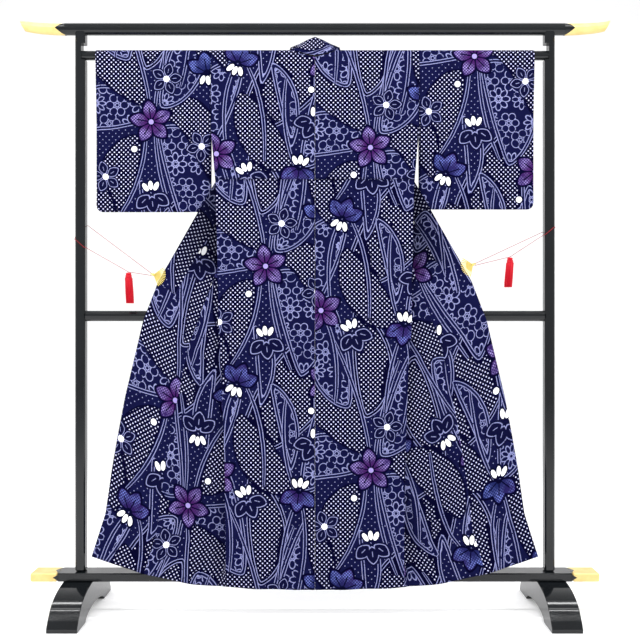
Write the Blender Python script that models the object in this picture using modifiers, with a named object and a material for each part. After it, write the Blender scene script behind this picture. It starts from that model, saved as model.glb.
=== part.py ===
"""A cotton yukata robe hung by its sleeves on a black lacquered kimono stand, its back to -Y.

Two gold fan clips on red cords pull the collar ends sideways, so each front opens out past the side
seam. Metres, +Z up. The origin is on the floor below the middle of the stand. Each length of the body
runs from the back hem over the shoulder to the front hem, and is parted here on the shoulder's ridge,
so that collision stays open inside. A place on a front is given by its drop below the shoulder and
its distance across the cloth from the side seam.
"""
import math
from collections import namedtuple

import bmesh
import bpy
from mathutils import Vector

# Cloth
WALL = 0.0016
COLLAR_WALL = 0.0028
SEAM_GAP = 0.0003
FIT_GAP = 0.0003

# Rod that carries the robe
ROD_RADIUS = 0.014
ROD_HEIGHT = 1.666
SHOULDER_TURNS = (-90, -60, -30, 0, 30, 60, 90)  # degrees over the rod, back to front
DRAPE_RADIUS = (ROD_RADIUS + FIT_GAP) / math.cos(math.radians(15)) + WALL / 2  # clear of it between turns
RIDGE_STEP = 5  # degrees: a short last stretch before the ridge squares the end of each side
RIDGE_CLEAR = SEAM_GAP / 2 + WALL / 2 * math.sin(math.radians(RIDGE_STEP / 2))
RIDGE_TURN = math.degrees(RIDGE_CLEAR / DRAPE_RADIUS)

# Body
SHOULDER_HEIGHT = ROD_HEIGHT + DRAPE_RADIUS
SHOULDER_WIDTH = 0.311
SIDE_HEM_HEIGHT = 0.088
CENTRE_HEM_SAG = 0.008
ARMHOLE_HEIGHT = 1.440  # the sleeve is sewn on above this
SIDE_SEAM_TOP = 1.262  # the side seam is sewn below this
HEM_DROP = SHOULDER_HEIGHT - SIDE_HEM_HEIGHT
BODY_HEIGHTS = (1.655, 1.590, 1.520, 1.440, 1.350, 1.262, 1.180, 1.090, 0.985,
                0.880, 0.770, 0.650, 0.520, 0.400, 0.280, 0.175, SIDE_HEM_HEIGHT)
PLEAT_HEIGHTS = (1.625, 1.605, 1.575, 1.560, 1.540, 1.500, 1.395)  # more rows where the pleat begins
SideSeam = namedtuple("SideSeam", "height half_width")
SIDE_SEAM = (SideSeam(SHOULDER_HEIGHT, SHOULDER_WIDTH), SideSeam(1.440, 0.310), SideSeam(1.262, 0.294),
             SideSeam(1.020, 0.288), SideSeam(0.840, 0.285), SideSeam(0.750, 0.277),
             SideSeam(0.450, 0.266), SideSeam(0.088, 0.260))

# How far the layers stand from the rod's plane, from the floor up
Depth = namedtuple("Depth", "height back front_edge outer")
DEPTHS = (Depth(0.080, -0.0580, -0.0561, -0.0450), Depth(0.170, -0.0560, -0.0541, -0.0435),
          Depth(0.500, -0.0500, -0.0481, -0.0340), Depth(0.884, -0.0430, -0.0411, -0.0225),
          Depth(1.262, -0.0320, -0.0301, -0.0125), Depth(1.440, -0.0240, 0.0085, 0.0165),
          Depth(ROD_HEIGHT, -DRAPE_RADIUS, DRAPE_RADIUS, DRAPE_RADIUS + 0.0092))

# Front: cut widths across the cloth
FRONT_WIDTH_TOP = 0.240
FRONT_WIDTH_HEM = 0.250
COLLAR_WIDTH = 0.055
OVERLAP_TOP_DROP = 0.260
OVERLAP_WIDTH_AT_COLLAR = 0.145
OVERLAP_WIDTH_HEM = 0.160
COLLAR_END_DROP = 0.820
PLEAT_RADIUS = 0.0046
PLEAT_LEAST = 0.022
SEAM_FOOT_HEIGHT = 0.320
SEAM_FOOT_EASE = 0.0004  # more room at the side seam's foot, where the front twists

# Front: where its outer edge goes, down to the collar's end and then to the hem
NECK_HALF_WIDTH = 0.070
NECK_EDGE_HEIGHT = 1.690
NECK_LOW = 1.6615  # the neckline at centre back
OuterEdge = namedtuple("OuterEdge", "height reach")
OUTER_EDGE = (OuterEdge(0.985, 0.468), OuterEdge(0.870, 0.512), OuterEdge(0.770, 0.535),
              OuterEdge(0.640, 0.565), OuterEdge(0.530, 0.585), OuterEdge(0.430, 0.602),
              OuterEdge(0.300, 0.620), OuterEdge(0.173, 0.660))
LIFT_POWER = 1.6

# Soft folds that all layers share: a ridge towards -Y from a high end to a low end
Fold = namedtuple("Fold", "x_high z_high x_low z_low half_width depth")
FOLDS = (Fold(-0.205, 1.22, -0.175, 0.05, 0.034, 0.0085), Fold(-0.085, 1.05, -0.060, 0.05, 0.026, 0.0060),
         Fold(0.060, 1.18, 0.085, 0.05, 0.030, 0.0070), Fold(0.190, 1.24, 0.215, 0.05, 0.036, 0.0090),
         Fold(-0.330, 1.00, -0.370, 0.05, 0.034, 0.0085), Fold(0.335, 1.02, 0.365, 0.05, 0.034, 0.0080),
         Fold(-0.420, 0.80, -0.510, 0.08, 0.030, 0.0065), Fold(0.440, 0.86, 0.520, 0.08, 0.034, 0.0075),
         Fold(-0.010, 0.75, 0.000, 0.05, 0.022, 0.0040))

# Sleeves
SLEEVE_REACH = 0.656
SLEEVE_BOTTOM = {-1: 1.196, 1: 1.204}
SLEEVE_HEIGHTS = (1.655, 1.590, 1.520, 1.440, 1.370, 1.300, 1.240)
SLEEVE_CORNER = 0.020
SLEEVE_HALF_DEPTH = 0.0060
SLEEVE_EDGE_HALF_DEPTH = 0.0016
SLEEVE_HEM_RISE = 0.0045
SLEEVE_ACROSS = (0.0, 0.06, 0.18, 0.34, 0.52, 0.70, 0.86, 0.943, 0.975, 1.0)

# Collar round the neck: seam, roll and free edge of its sections, from centre back to the shoulder
NeckSection = namedtuple("NeckSection", "seam roll free")
NECK = (NeckSection((0.000, -0.0158, 1.6645), (0.000, -0.0150, 1.693), (0.000, -0.0060, 1.7205)),
        NeckSection((0.026, -0.0158, 1.6685), (0.022, -0.0150, 1.690), (0.022, -0.0020, 1.7130)),
        NeckSection((0.0515, -0.0136, 1.6768), (0.040, -0.0100, 1.700), (0.048, 0.0060, 1.7020)),
        NeckSection((0.0697, 0.0000, 1.6828), (0.036, 0.0060, 1.7010), (0.074, 0.0170, 1.6960)),
        NeckSection((0.0697, 0.0119, 1.6779), (0.034, 0.0160, 1.6920), (0.078, 0.0230, 1.6860)),
        NeckSection((0.0697, 0.0162, 1.6660), (0.034, 0.0220, 1.6760), (0.082, 0.0250, 1.6740)))
COLLAR_ROLL = 0.036  # how far the collar rolls inward at the shoulder
COLLAR_ROLL_DROP = 0.090  # below this the collar lies in the front's pleat
COLLAR_EASE = 0.0024  # more room at the seam where the pleat turns through it
COLLAR_ACROSS = (0.0, 0.10, 0.22, 0.40, 0.70, 1.0)

# Stand
POST_X = 0.702
POST_WIDTH = 0.030
POST_DEPTH = 0.031
POST_CHAMFER = 0.004
TOP_BAR_RADIUS = 0.018
TOP_BAR_HEIGHT = 1.745
TOP_BAR_BLACK = 0.750
TOP_BAR_REACH = 0.886
CAP_RISE = 0.010
MIDDLE_BAR_RADIUS = 0.016
MIDDLE_BAR_HEIGHT = 0.884
FOOT_X = 0.7035
FOOT_WIDTH = 0.087
FOOT_HALF_LENGTH = 0.197
FOOT_TOP = 0.0945
FOOT_ARCH_HALF = 0.107
FOOT_ARCH_RISE = 0.026
RAIL_DEPTH = 0.068
RAIL_THICKNESS = 0.0255
RAIL_BLACK = 0.765
RAIL_REACH = 0.845
RAIL_BOTTOM = FOOT_TOP + FIT_GAP
RAIL_TOP = RAIL_BOTTOM + RAIL_THICKNESS
NOTCH_DEPTH = 0.012
NOTCH_TOP = 1.700

# Clips, cords and tassels: each side has its own heights
CORD_RADIUS = 0.0008
FAN_RADIUS = 0.034
FAN_THICKNESS = 0.0020
FAN_RIBS = 11
CLIP_GRIP = 0.016
CLIP_PLAY = 0.0009
Clip = namedtuple("Clip", "side x z direction spread")
CLIPS = (Clip(-1, -0.481, 1.007, 8, 78), Clip(1, 0.471, 1.037, 198, 72))
Tassel = namedtuple("Tassel", "side x z length lean")
TASSELS = (Tassel(-1, -0.555, 1.012, 0.092, 0.004), Tassel(1, 0.581, 1.057, 0.089, -0.006))
PostHold = namedtuple("PostHold", "rear_inner rear_outer front_outer front_inner")
POST_HOLDS = {-1: PostHold(1.157, 1.150, 1.112, 1.089), 1: PostHold(1.137, 1.140, 1.150, 1.128)}
TASSEL_HEAD_RADIUS = 0.0065
TASSEL_HEAD_HEIGHT = 0.017
TASSEL_RINGS = 3
TASSEL_SECTORS = 11
TASSEL_SPREADS = (0.45, 0.0)  # how far each half of the strands' length spreads them

# Finish: colour, roughness, metallic
Finish = namedtuple("Finish", "colour roughness metallic")
INDIGO = Finish((0.013, 0.011, 0.070, 1), 0.90, 0.0)
INDIGO_LIGHT = Finish((0.020, 0.018, 0.100, 1), 0.90, 0.0)
LACQUER = Finish((0.010, 0.012, 0.016, 1), 0.18, 0.0)
GOLD = Finish((0.90, 0.66, 0.20, 1), 0.30, 0.9)
CRIMSON = Finish((0.72, 0.015, 0.030, 1), 0.65, 0.0)


def make_collection():
    for old in list(bpy.data.objects):
        bpy.data.objects.remove(old, do_unlink=True)
    made = bpy.data.collections.new("yukata_on_stand")
    bpy.context.scene.collection.children.link(made)
    return made


def material(name, finish):
    made = bpy.data.materials.get(name)
    if made:
        return made
    made = bpy.data.materials.new(name)
    made.use_nodes = True
    shader = made.node_tree.nodes["Principled BSDF"]
    shader.inputs["Base Color"].default_value = finish.colour
    shader.inputs["Roughness"].default_value = finish.roughness
    shader.inputs["Metallic"].default_value = finish.metallic
    made.diffuse_color = finish.colour
    return made


def add_object(name, data, finish):
    made = bpy.data.objects.new(name, data)
    data.materials.append(material(name + "_finish", finish))
    PARTS.objects.link(made)
    return made


def read_table(table, height, column):
    """The column's value at a height, in a straight line between the table's rows."""
    rows = sorted(table, key=lambda row: row.height)
    if height <= rows[0].height:
        return getattr(rows[0], column)
    for low, high in zip(rows, rows[1:]):
        if height <= high.height:
            share = (height - low.height) / (high.height - low.height)
            return getattr(low, column) * (1 - share) + getattr(high, column) * share
    return getattr(rows[-1], column)


def smooth(value):
    held = min(max(value, 0.0), 1.0)
    return held * held * (3 - 2 * held)


def folds_at(x, z):
    """How far the shared soft folds push the cloth at a place towards -Y."""
    total = 0.0
    for fold in FOLDS:
        along = (fold.z_high - z) / (fold.z_high - fold.z_low)
        if along <= 0:
            continue
        centre = fold.x_high + (fold.x_low - fold.x_high) * along
        width = fold.half_width * (0.7 + 0.6 * min(along, 1.0))
        total += fold.depth * smooth(along * 1.6) * math.exp(-(((x - centre) / width) ** 2))
    return total


def shell(name, rows, wall, finish, loop=False, left_out=None):
    """An open surface through rows of points, thickened by a Solidify modifier."""
    mesh = bpy.data.meshes.new(name)
    across = len(rows[0])
    points = [point for row in rows for point in row]
    faces = []
    for i in range(len(rows) - 1):
        for j in range(across if loop else across - 1):
            if left_out and left_out(i, j):
                continue
            k = (j + 1) % across
            faces.append((i * across + j, i * across + k, (i + 1) * across + k, (i + 1) * across + j))
    mesh.from_pydata(points, [], faces)
    made = bmesh.new()
    made.from_mesh(mesh)
    bmesh.ops.delete(made, geom=[v for v in made.verts if not v.link_faces], context="VERTS")
    made.to_mesh(mesh)
    made.free()
    mesh.shade_smooth()
    piece = add_object(name, mesh, finish)
    thick = piece.modifiers.new("Cloth thickness", "SOLIDIFY")
    thick.thickness = wall
    thick.offset = 0.0
    thick.use_quality_normals = True
    thick.use_rim = True
    return piece


def side_x(height):
    return read_table(SIDE_SEAM, height, "half_width")


def front_width(drop):
    """Width of the body's front from the side seam to its inner edge."""
    return FRONT_WIDTH_TOP + (FRONT_WIDTH_HEM - FRONT_WIDTH_TOP) * drop / HEM_DROP


def collar_seam(drop):
    """Distance of the collar seam from the side seam. Below the collar's end it is only a line."""
    start, end = OVERLAP_TOP_DROP - 0.03, COLLAR_END_DROP
    inner = front_width(drop)
    if drop <= start:
        return inner
    share = min((drop - start) / (end - start), 1.0)
    return inner + (OVERLAP_WIDTH_AT_COLLAR - COLLAR_WIDTH) * share


def cloth_width(drop):
    """Distance across the cloth from the side seam to the front's outer edge."""
    if drop <= COLLAR_END_DROP:
        return collar_seam(drop) + COLLAR_WIDTH
    share = (drop - COLLAR_END_DROP) / (HEM_DROP - COLLAR_END_DROP)
    return front_width(drop) + OVERLAP_WIDTH_AT_COLLAR * (1 - share) + OVERLAP_WIDTH_HEM * share


def outer_place(drop):
    """Where the front's outer edge hangs: its reach from the centre and its height."""
    if drop <= COLLAR_END_DROP:
        share = drop / COLLAR_END_DROP
        end = OUTER_EDGE[0]
        return (NECK_HALF_WIDTH + (end.reach - NECK_HALF_WIDTH) * share,
                NECK_EDGE_HEIGHT + (end.height - NECK_EDGE_HEIGHT) * share)
    left = (drop - COLLAR_END_DROP) / (HEM_DROP - COLLAR_END_DROP)
    steps = [math.dist(a, b) for a, b in zip(OUTER_EDGE, OUTER_EDGE[1:])]
    left *= sum(steps)
    for step, high, low in zip(steps, OUTER_EDGE, OUTER_EDGE[1:]):
        if left <= step:
            share = left / step
            return (high.reach + (low.reach - high.reach) * share,
                    high.height + (low.height - high.height) * share)
        left -= step
    return OUTER_EDGE[-1].reach, OUTER_EDGE[-1].height


class FrontRow:
    """One level line across a front: inward behind the back, round a pleat, and out to the edge."""

    def __init__(self, drop):
        self.drop = drop
        self.z_side = SHOULDER_HEIGHT - drop
        self.x_side = side_x(self.z_side)
        self.width = cloth_width(drop)
        self.x_outer, self.z_outer = outer_place(drop)
        self.lift = self.z_outer - self.z_side
        reach = self.x_outer - self.x_side
        full_turn = math.pi * PLEAT_RADIUS
        flat = self.width - full_turn
        deep = (flat ** 2 - reach ** 2 - self.lift ** 2) / (2 * (flat + reach))
        if deep >= PLEAT_LEAST:
            self.inward, self.turn = deep, math.pi
        else:
            spare = self.width - math.hypot(reach, self.lift)
            self.inward, self.turn = PLEAT_LEAST, self.turn_for(spare)
        self.pleat = PLEAT_RADIUS * self.turn
        clear = SEAM_GAP + WALL * math.sin(self.turn / 2)
        clear += SEAM_FOOT_EASE * smooth((SEAM_FOOT_HEIGHT - self.z_side) / 0.15)
        sewn = smooth((SIDE_SEAM_TOP + 0.001 - self.z_side) / 0.001)
        self.x_start = self.x_side + sewn * clear * math.cos(self.turn / 2)
        edge = read_table(DEPTHS, self.z_side, "front_edge")
        seam = read_table(DEPTHS, self.z_side, "back") + clear * math.sin(self.turn / 2)
        self.y_start = edge * (1 - sewn) + seam * sewn
        x_pleat, y_pleat = self.on_pleat(self.pleat)
        self.x_second, self.y_second = x_pleat, y_pleat
        self.drift = read_table(DEPTHS, self.z_outer, "outer") - y_pleat

    def turn_for(self, spare):
        """How far the cloth turns where there is little of it to spare."""
        low, high = 0.0, math.pi
        for _ in range(40):
            turn = (low + high) / 2
            used = PLEAT_LEAST * (1 - math.cos(turn)) + PLEAT_RADIUS * (turn - math.sin(turn))
            low, high = (turn, high) if used < spare else (low, turn)
        return low

    def on_pleat(self, along):
        """The place after the inward stretch and part of the pleat's turn."""
        turn, radius = self.turn, PLEAT_RADIUS
        x = self.x_start + self.inward * math.cos(turn)
        y = self.y_start + self.inward * math.sin(turn)
        left = turn - along / radius
        x += radius * (math.sin(turn) - math.sin(left))
        y += radius * (math.cos(left) - math.cos(turn))
        return x, y

    def place(self, across):
        """The point at a distance across the cloth from the side seam, for the +X side."""
        if across <= self.inward:
            x = self.x_start + across * math.cos(self.turn)
            y = self.y_start + across * math.sin(self.turn)
            rise = 0.0
        elif across <= self.inward + self.pleat:
            x, y = self.on_pleat(across - self.inward)
            rise = 0.0
        else:
            start = self.inward + self.pleat
            share = (across - start) / (self.width - start)
            x = self.x_second + (self.x_outer - self.x_second) * share
            y = self.y_second
            rise = self.lift * max(share, 0.0) ** LIFT_POWER
        y += self.drift * across / self.width
        return x, y, self.z_side + rise


def hung(side, place):
    """A point of the +X side put on its side, with the shared folds."""
    x, y, z = place
    return Vector((side * x, y - folds_at(side * x, z), z))


# Columns of the back and the front: how many stretches lie before, in and after the pleat
BODY_BEFORE, BODY_PLEAT, BODY_AFTER = 5, 4, 4
LEAST_AFTER = 0.012


def body_columns(row, inner):
    """Distances across the front at which it has its points."""
    pleat = max(row.pleat, PLEAT_RADIUS)
    start = min(row.inward, inner - LEAST_AFTER - pleat)
    before = [start * i / BODY_BEFORE for i in range(BODY_BEFORE)]
    within = [start + pleat * i / BODY_PLEAT for i in range(BODY_PLEAT)]
    after = [start + pleat + (inner - start - pleat) * i / BODY_AFTER for i in range(BODY_AFTER + 1)]
    return before + within + after


def neck_x(height):
    """Inner edge of the back: the centre seam, then the shallow curve of the neck."""
    share = (height - NECK_LOW) / (SHOULDER_HEIGHT - NECK_LOW)
    return SEAM_GAP / 2 if share <= 0 else NECK_HALF_WIDTH * math.sqrt(min(share, 1.0)) + SEAM_GAP / 2


def ridge_row(side, degrees, inner):
    """A row of points over the rod, from the armhole to the neck."""
    angle = math.radians(degrees)
    columns = BODY_BEFORE + BODY_PLEAT + BODY_AFTER
    row = []
    for j in range(columns + 1):
        x = SHOULDER_WIDTH + (inner - SHOULDER_WIDTH) * j / columns
        row.append(Vector((side * x, DRAPE_RADIUS * math.sin(angle),
                           ROD_HEIGHT + DRAPE_RADIUS * math.cos(angle))))
    return row


def make_back(side, name):
    columns = BODY_BEFORE + BODY_PLEAT + BODY_AFTER
    rows = []
    for height in reversed(BODY_HEIGHTS):
        outer, inner = side_x(height), neck_x(height)
        sag = CENTRE_HEM_SAG * smooth((0.6 - height) / 0.5)
        row = []
        for j in range(columns + 1):
            x = outer + (inner - outer) * j / columns
            z = height - sag * (1 - (x / outer) ** 2)
            row.append(hung(side, (x, read_table(DEPTHS, height, "back"), z)))
        rows.append(row)
    for degrees in [turn for turn in SHOULDER_TURNS if turn < 0] + [-RIDGE_STEP, -RIDGE_TURN]:
        height = ROD_HEIGHT + DRAPE_RADIUS * math.cos(math.radians(degrees))
        rows.append(ridge_row(side, degrees, neck_x(height)))
    shell(name, rows, WALL, INDIGO)


def make_front(side, name):
    rows = []
    for degrees in [RIDGE_TURN, RIDGE_STEP] + [turn for turn in SHOULDER_TURNS if 0 < turn < 90]:
        rows.append(ridge_row(side, degrees, SHOULDER_WIDTH - FRONT_WIDTH_TOP))
    for height in (ROD_HEIGHT,) + tuple(sorted(BODY_HEIGHTS + PLEAT_HEIGHTS, reverse=True)):
        drop = SHOULDER_HEIGHT - height
        front = FrontRow(drop)
        columns_here = body_columns(front, front_width(drop))
        rows.append([hung(side, front.place(across)) for across in columns_here])
    shell(name, rows, WALL, INDIGO)


def make_overlap(side, name):
    drops = [OVERLAP_TOP_DROP] + [SHOULDER_HEIGHT - h for h in BODY_HEIGHTS
                                  if h < SHOULDER_HEIGHT - OVERLAP_TOP_DROP - 0.02]
    step = COLLAR_END_DROP
    drops = sorted([d for d in drops if abs(d - step) > 0.03] + [step, step + 0.03])
    inner_parts, outer_parts = 4, 2
    rows = []
    for drop in drops:
        front = FrontRow(drop)
        start, seam = front_width(drop) + SEAM_GAP, collar_seam(drop) - SEAM_GAP
        row = [start + (seam - start) * j / inner_parts for j in range(inner_parts + 1)]
        row += [seam + (cloth_width(drop) - seam) * j / outer_parts for j in range(1, outer_parts + 1)]
        rows.append([hung(side, front.place(across)) for across in row])
    first_full = drops.index(step)
    shell(name, rows, WALL, INDIGO_LIGHT, left_out=lambda i, j: j >= inner_parts and i < first_full)


def make_sleeve(side, name):
    bottom = SLEEVE_BOTTOM[side]
    inner = SHOULDER_WIDTH + SEAM_GAP
    rows = []
    for share in SLEEVE_ACROSS:
        x = inner + (SLEEVE_REACH - inner) * share
        past = max(x - (SLEEVE_REACH - SLEEVE_CORNER), 0.0)
        low = bottom + SLEEVE_CORNER - math.sqrt(max(SLEEVE_CORNER ** 2 - past ** 2, 0.0))
        at_edge = smooth((x - SLEEVE_REACH + 0.045) / 0.045)
        half = SLEEVE_HALF_DEPTH + (SLEEVE_EDGE_HALF_DEPTH - SLEEVE_HALF_DEPTH) * at_edge
        by_body = 1 - smooth((x - inner) / 0.12)

        def depths(height):
            fall = smooth((ROD_HEIGHT - height) / 0.22)
            own = DRAPE_RADIUS + (half - DRAPE_RADIUS) * fall
            held = by_body * smooth((height - 1.30) / 0.14)
            back = read_table(DEPTHS, height, "back")
            front = read_table(DEPTHS, max(height, ARMHOLE_HEIGHT), "front_edge")
            return -own + (back + own) * held, own + (front - own) * held

        heights = list(SLEEVE_HEIGHTS) + [low + SLEEVE_HEM_RISE]
        ring = [Vector((side * x, depths(h)[0], h)) for h in reversed(heights)]
        for degrees in SHOULDER_TURNS:
            angle = math.radians(degrees)
            ring.append(Vector((side * x, DRAPE_RADIUS * math.sin(angle),
                                ROD_HEIGHT + DRAPE_RADIUS * math.cos(angle))))
        ring += [Vector((side * x, depths(h)[1], h)) for h in heights]
        ring.append(Vector((side * x, 0.0, low)))
        rows.append(ring)
    shell(name, rows, WALL, INDIGO, loop=True)


def curve_point(section, share):
    """A place on the collar's section, a quadratic curve from its seam to its free edge."""
    seam, roll, free = (Vector(p) for p in section)
    return seam * (1 - share) ** 2 + roll * (2 * share * (1 - share)) + free * share ** 2


def rolled_section(front):
    """The collar's section between the shoulder and the place where the front's pleat takes it in."""
    x, y, z = front.place(front_width(front.drop))
    roll = COLLAR_ROLL * (1 - front.drop / 0.1)
    outer = (front.x_outer, read_table(DEPTHS, front.z_outer, "outer"), front.z_outer)
    return NeckSection((x - 0.001, y + 0.0006, z), (x - roll, y + 0.0065, z + front.lift / 2), outer)


def make_collar(name):
    heights = [h for h in sorted(BODY_HEIGHTS + PLEAT_HEIGHTS, reverse=True)
               if h > SHOULDER_HEIGHT - COLLAR_END_DROP + 0.03]
    drops = [SHOULDER_HEIGHT - h for h in heights] + [COLLAR_END_DROP - 1.3 * SEAM_GAP]
    halves = []
    for side in (-1, 1):
        rows = [[curve_point(section, share) for share in COLLAR_ACROSS] for section in NECK]
        rows = [[Vector((side * p.x, p.y, p.z)) for p in row] for row in rows]
        for drop in drops:
            front = FrontRow(drop)
            if drop < COLLAR_ROLL_DROP:
                places = [curve_point(rolled_section(front), share) for share in COLLAR_ACROSS]
            else:
                in_pleat = smooth((0.19 - drop) / 0.05)
                start = collar_seam(drop) + SEAM_GAP + COLLAR_EASE * in_pleat
                places = [front.place(start + (front.width - start) * s) for s in COLLAR_ACROSS]
            rows.append([hung(side, place) for place in places])
        halves.append(rows)
    left, right = halves
    shell(name, list(reversed(left[1:])) + right, COLLAR_WALL, INDIGO_LIGHT)


def cut(piece, cutter, operation="DIFFERENCE"):
    change = piece.modifiers.new(operation.title(), "BOOLEAN")
    change.operation = operation
    change.solver = "EXACT"
    change.object = cutter
    cutter.hide_render = True
    cutter.display_type = "WIRE"


def box_object(name, low, high, finish=None):
    """A box between two corners, as a part with a finish or else as a cutter."""
    made = bmesh.new()
    bmesh.ops.create_cube(made, size=1.0)
    mesh = bpy.data.meshes.new(name)
    low, high = Vector(low), Vector(high)
    for vertex in made.verts:
        vertex.co = [lo + (hi - lo) * (c + 0.5) for c, lo, hi in zip(vertex.co, low, high)]
    made.to_mesh(mesh)
    made.free()
    if finish:
        return add_object(name, mesh, finish)
    piece = bpy.data.objects.new(name, mesh)
    CUTTERS.objects.link(piece)
    return piece


def bevel(piece, width, segments=1):
    rounded = piece.modifiers.new("Rounded edges", "BEVEL")
    rounded.width = width
    rounded.segments = segments
    rounded.limit_method = "ANGLE"


def rod_object(name, radius, start, end, height, finish, sides=16):
    """A round bar along X."""
    made = bmesh.new()
    bmesh.ops.create_cone(made, cap_ends=True, segments=sides, radius1=radius, radius2=radius,
                          depth=end - start)
    mesh = bpy.data.meshes.new(name)
    made.to_mesh(mesh)
    made.free()
    mesh.shade_smooth()
    mesh.set_sharp_from_angle(angle=math.radians(50))
    piece = add_object(name, mesh, finish)
    piece.rotation_euler = (0, math.radians(90), 0)
    piece.location = ((start + end) / 2, 0, height)
    return piece


def loft(name, rings, finish):
    """A closed solid through rings of points, with flat ends."""
    made = bmesh.new()
    loops = [[made.verts.new(point) for point in ring] for ring in rings]
    for one, other in zip(loops, loops[1:]):
        for j in range(len(one)):
            k = (j + 1) % len(one)
            made.faces.new((one[j], one[k], other[k], other[j]))
    made.faces.new(loops[0])
    made.faces.new(loops[-1])
    bmesh.ops.recalc_face_normals(made, faces=made.faces)
    mesh = bpy.data.meshes.new(name)
    made.to_mesh(mesh)
    made.free()
    mesh.shade_smooth()
    mesh.set_sharp_from_angle(angle=math.radians(50))
    return add_object(name, mesh, finish)


def make_post(side, name):
    x = side * POST_X
    post = box_object(name, (x - POST_WIDTH / 2, -POST_DEPTH / 2, RAIL_TOP + FIT_GAP),
                      (x + POST_WIDTH / 2, POST_DEPTH / 2, TOP_BAR_HEIGHT), LACQUER)
    bevel(post, POST_CHAMFER)
    seat = rod_object(name + "_bar_seat", TOP_BAR_RADIUS + FIT_GAP, -0.9, 0.9, TOP_BAR_HEIGHT, LACQUER)
    PARTS.objects.unlink(seat)
    CUTTERS.objects.link(seat)
    cut(post, seat)
    inner = side * (POST_X - POST_WIDTH / 2)
    low_x, high_x = sorted((inner - side * 0.002, inner + side * NOTCH_DEPTH))
    notch = box_object(name + "_notch", (low_x, -0.03, ROD_HEIGHT - ROD_RADIUS - FIT_GAP),
                       (high_x, 0.03, NOTCH_TOP))
    cut(post, notch)


def make_top_bar():
    rod_object("top_bar", TOP_BAR_RADIUS, -TOP_BAR_BLACK, TOP_BAR_BLACK, TOP_BAR_HEIGHT, LACQUER)
    for side, name in ((-1, "top_cap_left"), (1, "top_cap_right")):
        rings = []
        for i in range(7):
            share = i / 6
            x = TOP_BAR_BLACK + FIT_GAP + (TOP_BAR_REACH - TOP_BAR_BLACK - FIT_GAP) * share
            lift = CAP_RISE * share ** 2
            slant = 0.008 * share ** 4
            ring = []
            for k in range(16):
                angle = math.tau * k / 16
                up, out = math.cos(angle), math.sin(angle)
                radius = TOP_BAR_RADIUS * (1 - 0.12 * share)
                ring.append((side * (x + slant * up - slant), radius * out,
                             TOP_BAR_HEIGHT + lift + radius * up))
            rings.append(ring)
        loft(name, rings, GOLD)


def make_rail():
    for name, start, end, finish in (
            ("bottom_bar", -RAIL_BLACK, RAIL_BLACK, LACQUER),
            ("bottom_cap_left", -RAIL_REACH, -RAIL_BLACK - FIT_GAP, GOLD),
            ("bottom_cap_right", RAIL_BLACK + FIT_GAP, RAIL_REACH, GOLD)):
        rail = box_object(name, (start, -RAIL_DEPTH / 2, RAIL_BOTTOM),
                          (end, RAIL_DEPTH / 2, RAIL_TOP), finish)
        bevel(rail, 0.003)


def make_foot(side, name):
    """An arched foot, its outline in the YZ plane extruded across its width."""
    half, arch = FOOT_HALF_LENGTH, FOOT_ARCH_HALF
    top = ((half, 0.0), (half, 0.012), (0.170, 0.045), (0.145, 0.066), (0.104, 0.083), (0.056, 0.092),
           (0.036, FOOT_TOP))
    under = [(arch * math.cos(math.pi * i / 16), FOOT_ARCH_RISE * math.sin(math.pi * i / 16))
             for i in range(9)]
    right = list(reversed(under)) + list(top)
    outline = right + [(-y, z) for y, z in reversed(right)][:-1]
    shape = bpy.data.curves.new(name, "CURVE")
    shape.dimensions = "2D"
    shape.fill_mode = "BOTH"
    shape.extrude = FOOT_WIDTH / 2
    line = shape.splines.new("POLY")
    line.points.add(len(outline) - 1)
    for point, (y, z) in zip(line.points, outline):
        point.co = (y, z, 0, 1)
    line.use_cyclic_u = True
    piece = add_object(name, shape, LACQUER)
    piece.rotation_euler = (math.radians(90), 0, math.radians(90))
    piece.location = (side * FOOT_X, 0, 0)
    joined = piece.modifiers.new("Joined ends", "WELD")
    joined.merge_threshold = 0.00001
    bevel(piece, 0.003)


def make_stand():
    make_top_bar()
    rod_object("rod", ROD_RADIUS, -(POST_X - POST_WIDTH / 2 + NOTCH_DEPTH - FIT_GAP),
               POST_X - POST_WIDTH / 2 + NOTCH_DEPTH - FIT_GAP, ROD_HEIGHT, LACQUER)
    reach = POST_X - POST_WIDTH / 2 - FIT_GAP
    rod_object("middle_bar", MIDDLE_BAR_RADIUS, -reach, reach, MIDDLE_BAR_HEIGHT, LACQUER)
    make_rail()
    for side, end in ((-1, "left"), (1, "right")):
        make_post(side, "post_" + end)
        make_foot(side, "foot_" + end)


def clip_depth(clip):
    """The depth of the cloth in the middle of a clip's grip."""
    end = OUTER_EDGE[0]
    drop = COLLAR_END_DROP * (NECK_EDGE_HEIGHT - clip.z) / (NECK_EDGE_HEIGHT - end.height)
    front = FrontRow(drop)
    return hung(clip.side, front.place(front.width - CLIP_GRIP / 2)).y


def fan_plate(name, clip, y_low, y_high, radius, ribs):
    """A fan's outline round the pivot, with a scalloped rim, as a solid between two depths."""
    low, high = clip.direction - clip.spread, clip.direction + clip.spread
    points = [(0.0, 0.0)]
    for i in range(2 * ribs + 1):
        angle = math.radians(low + (high - low) * i / (2 * ribs))
        reach = radius * (1.0 if i % 2 else 0.955)
        points.append((reach * math.cos(angle), reach * math.sin(angle)))
    rings = [[(clip.x + x, y, clip.z + z) for x, z in points] for y in (y_low, y_high)]
    return loft(name, rings, GOLD)


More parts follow.
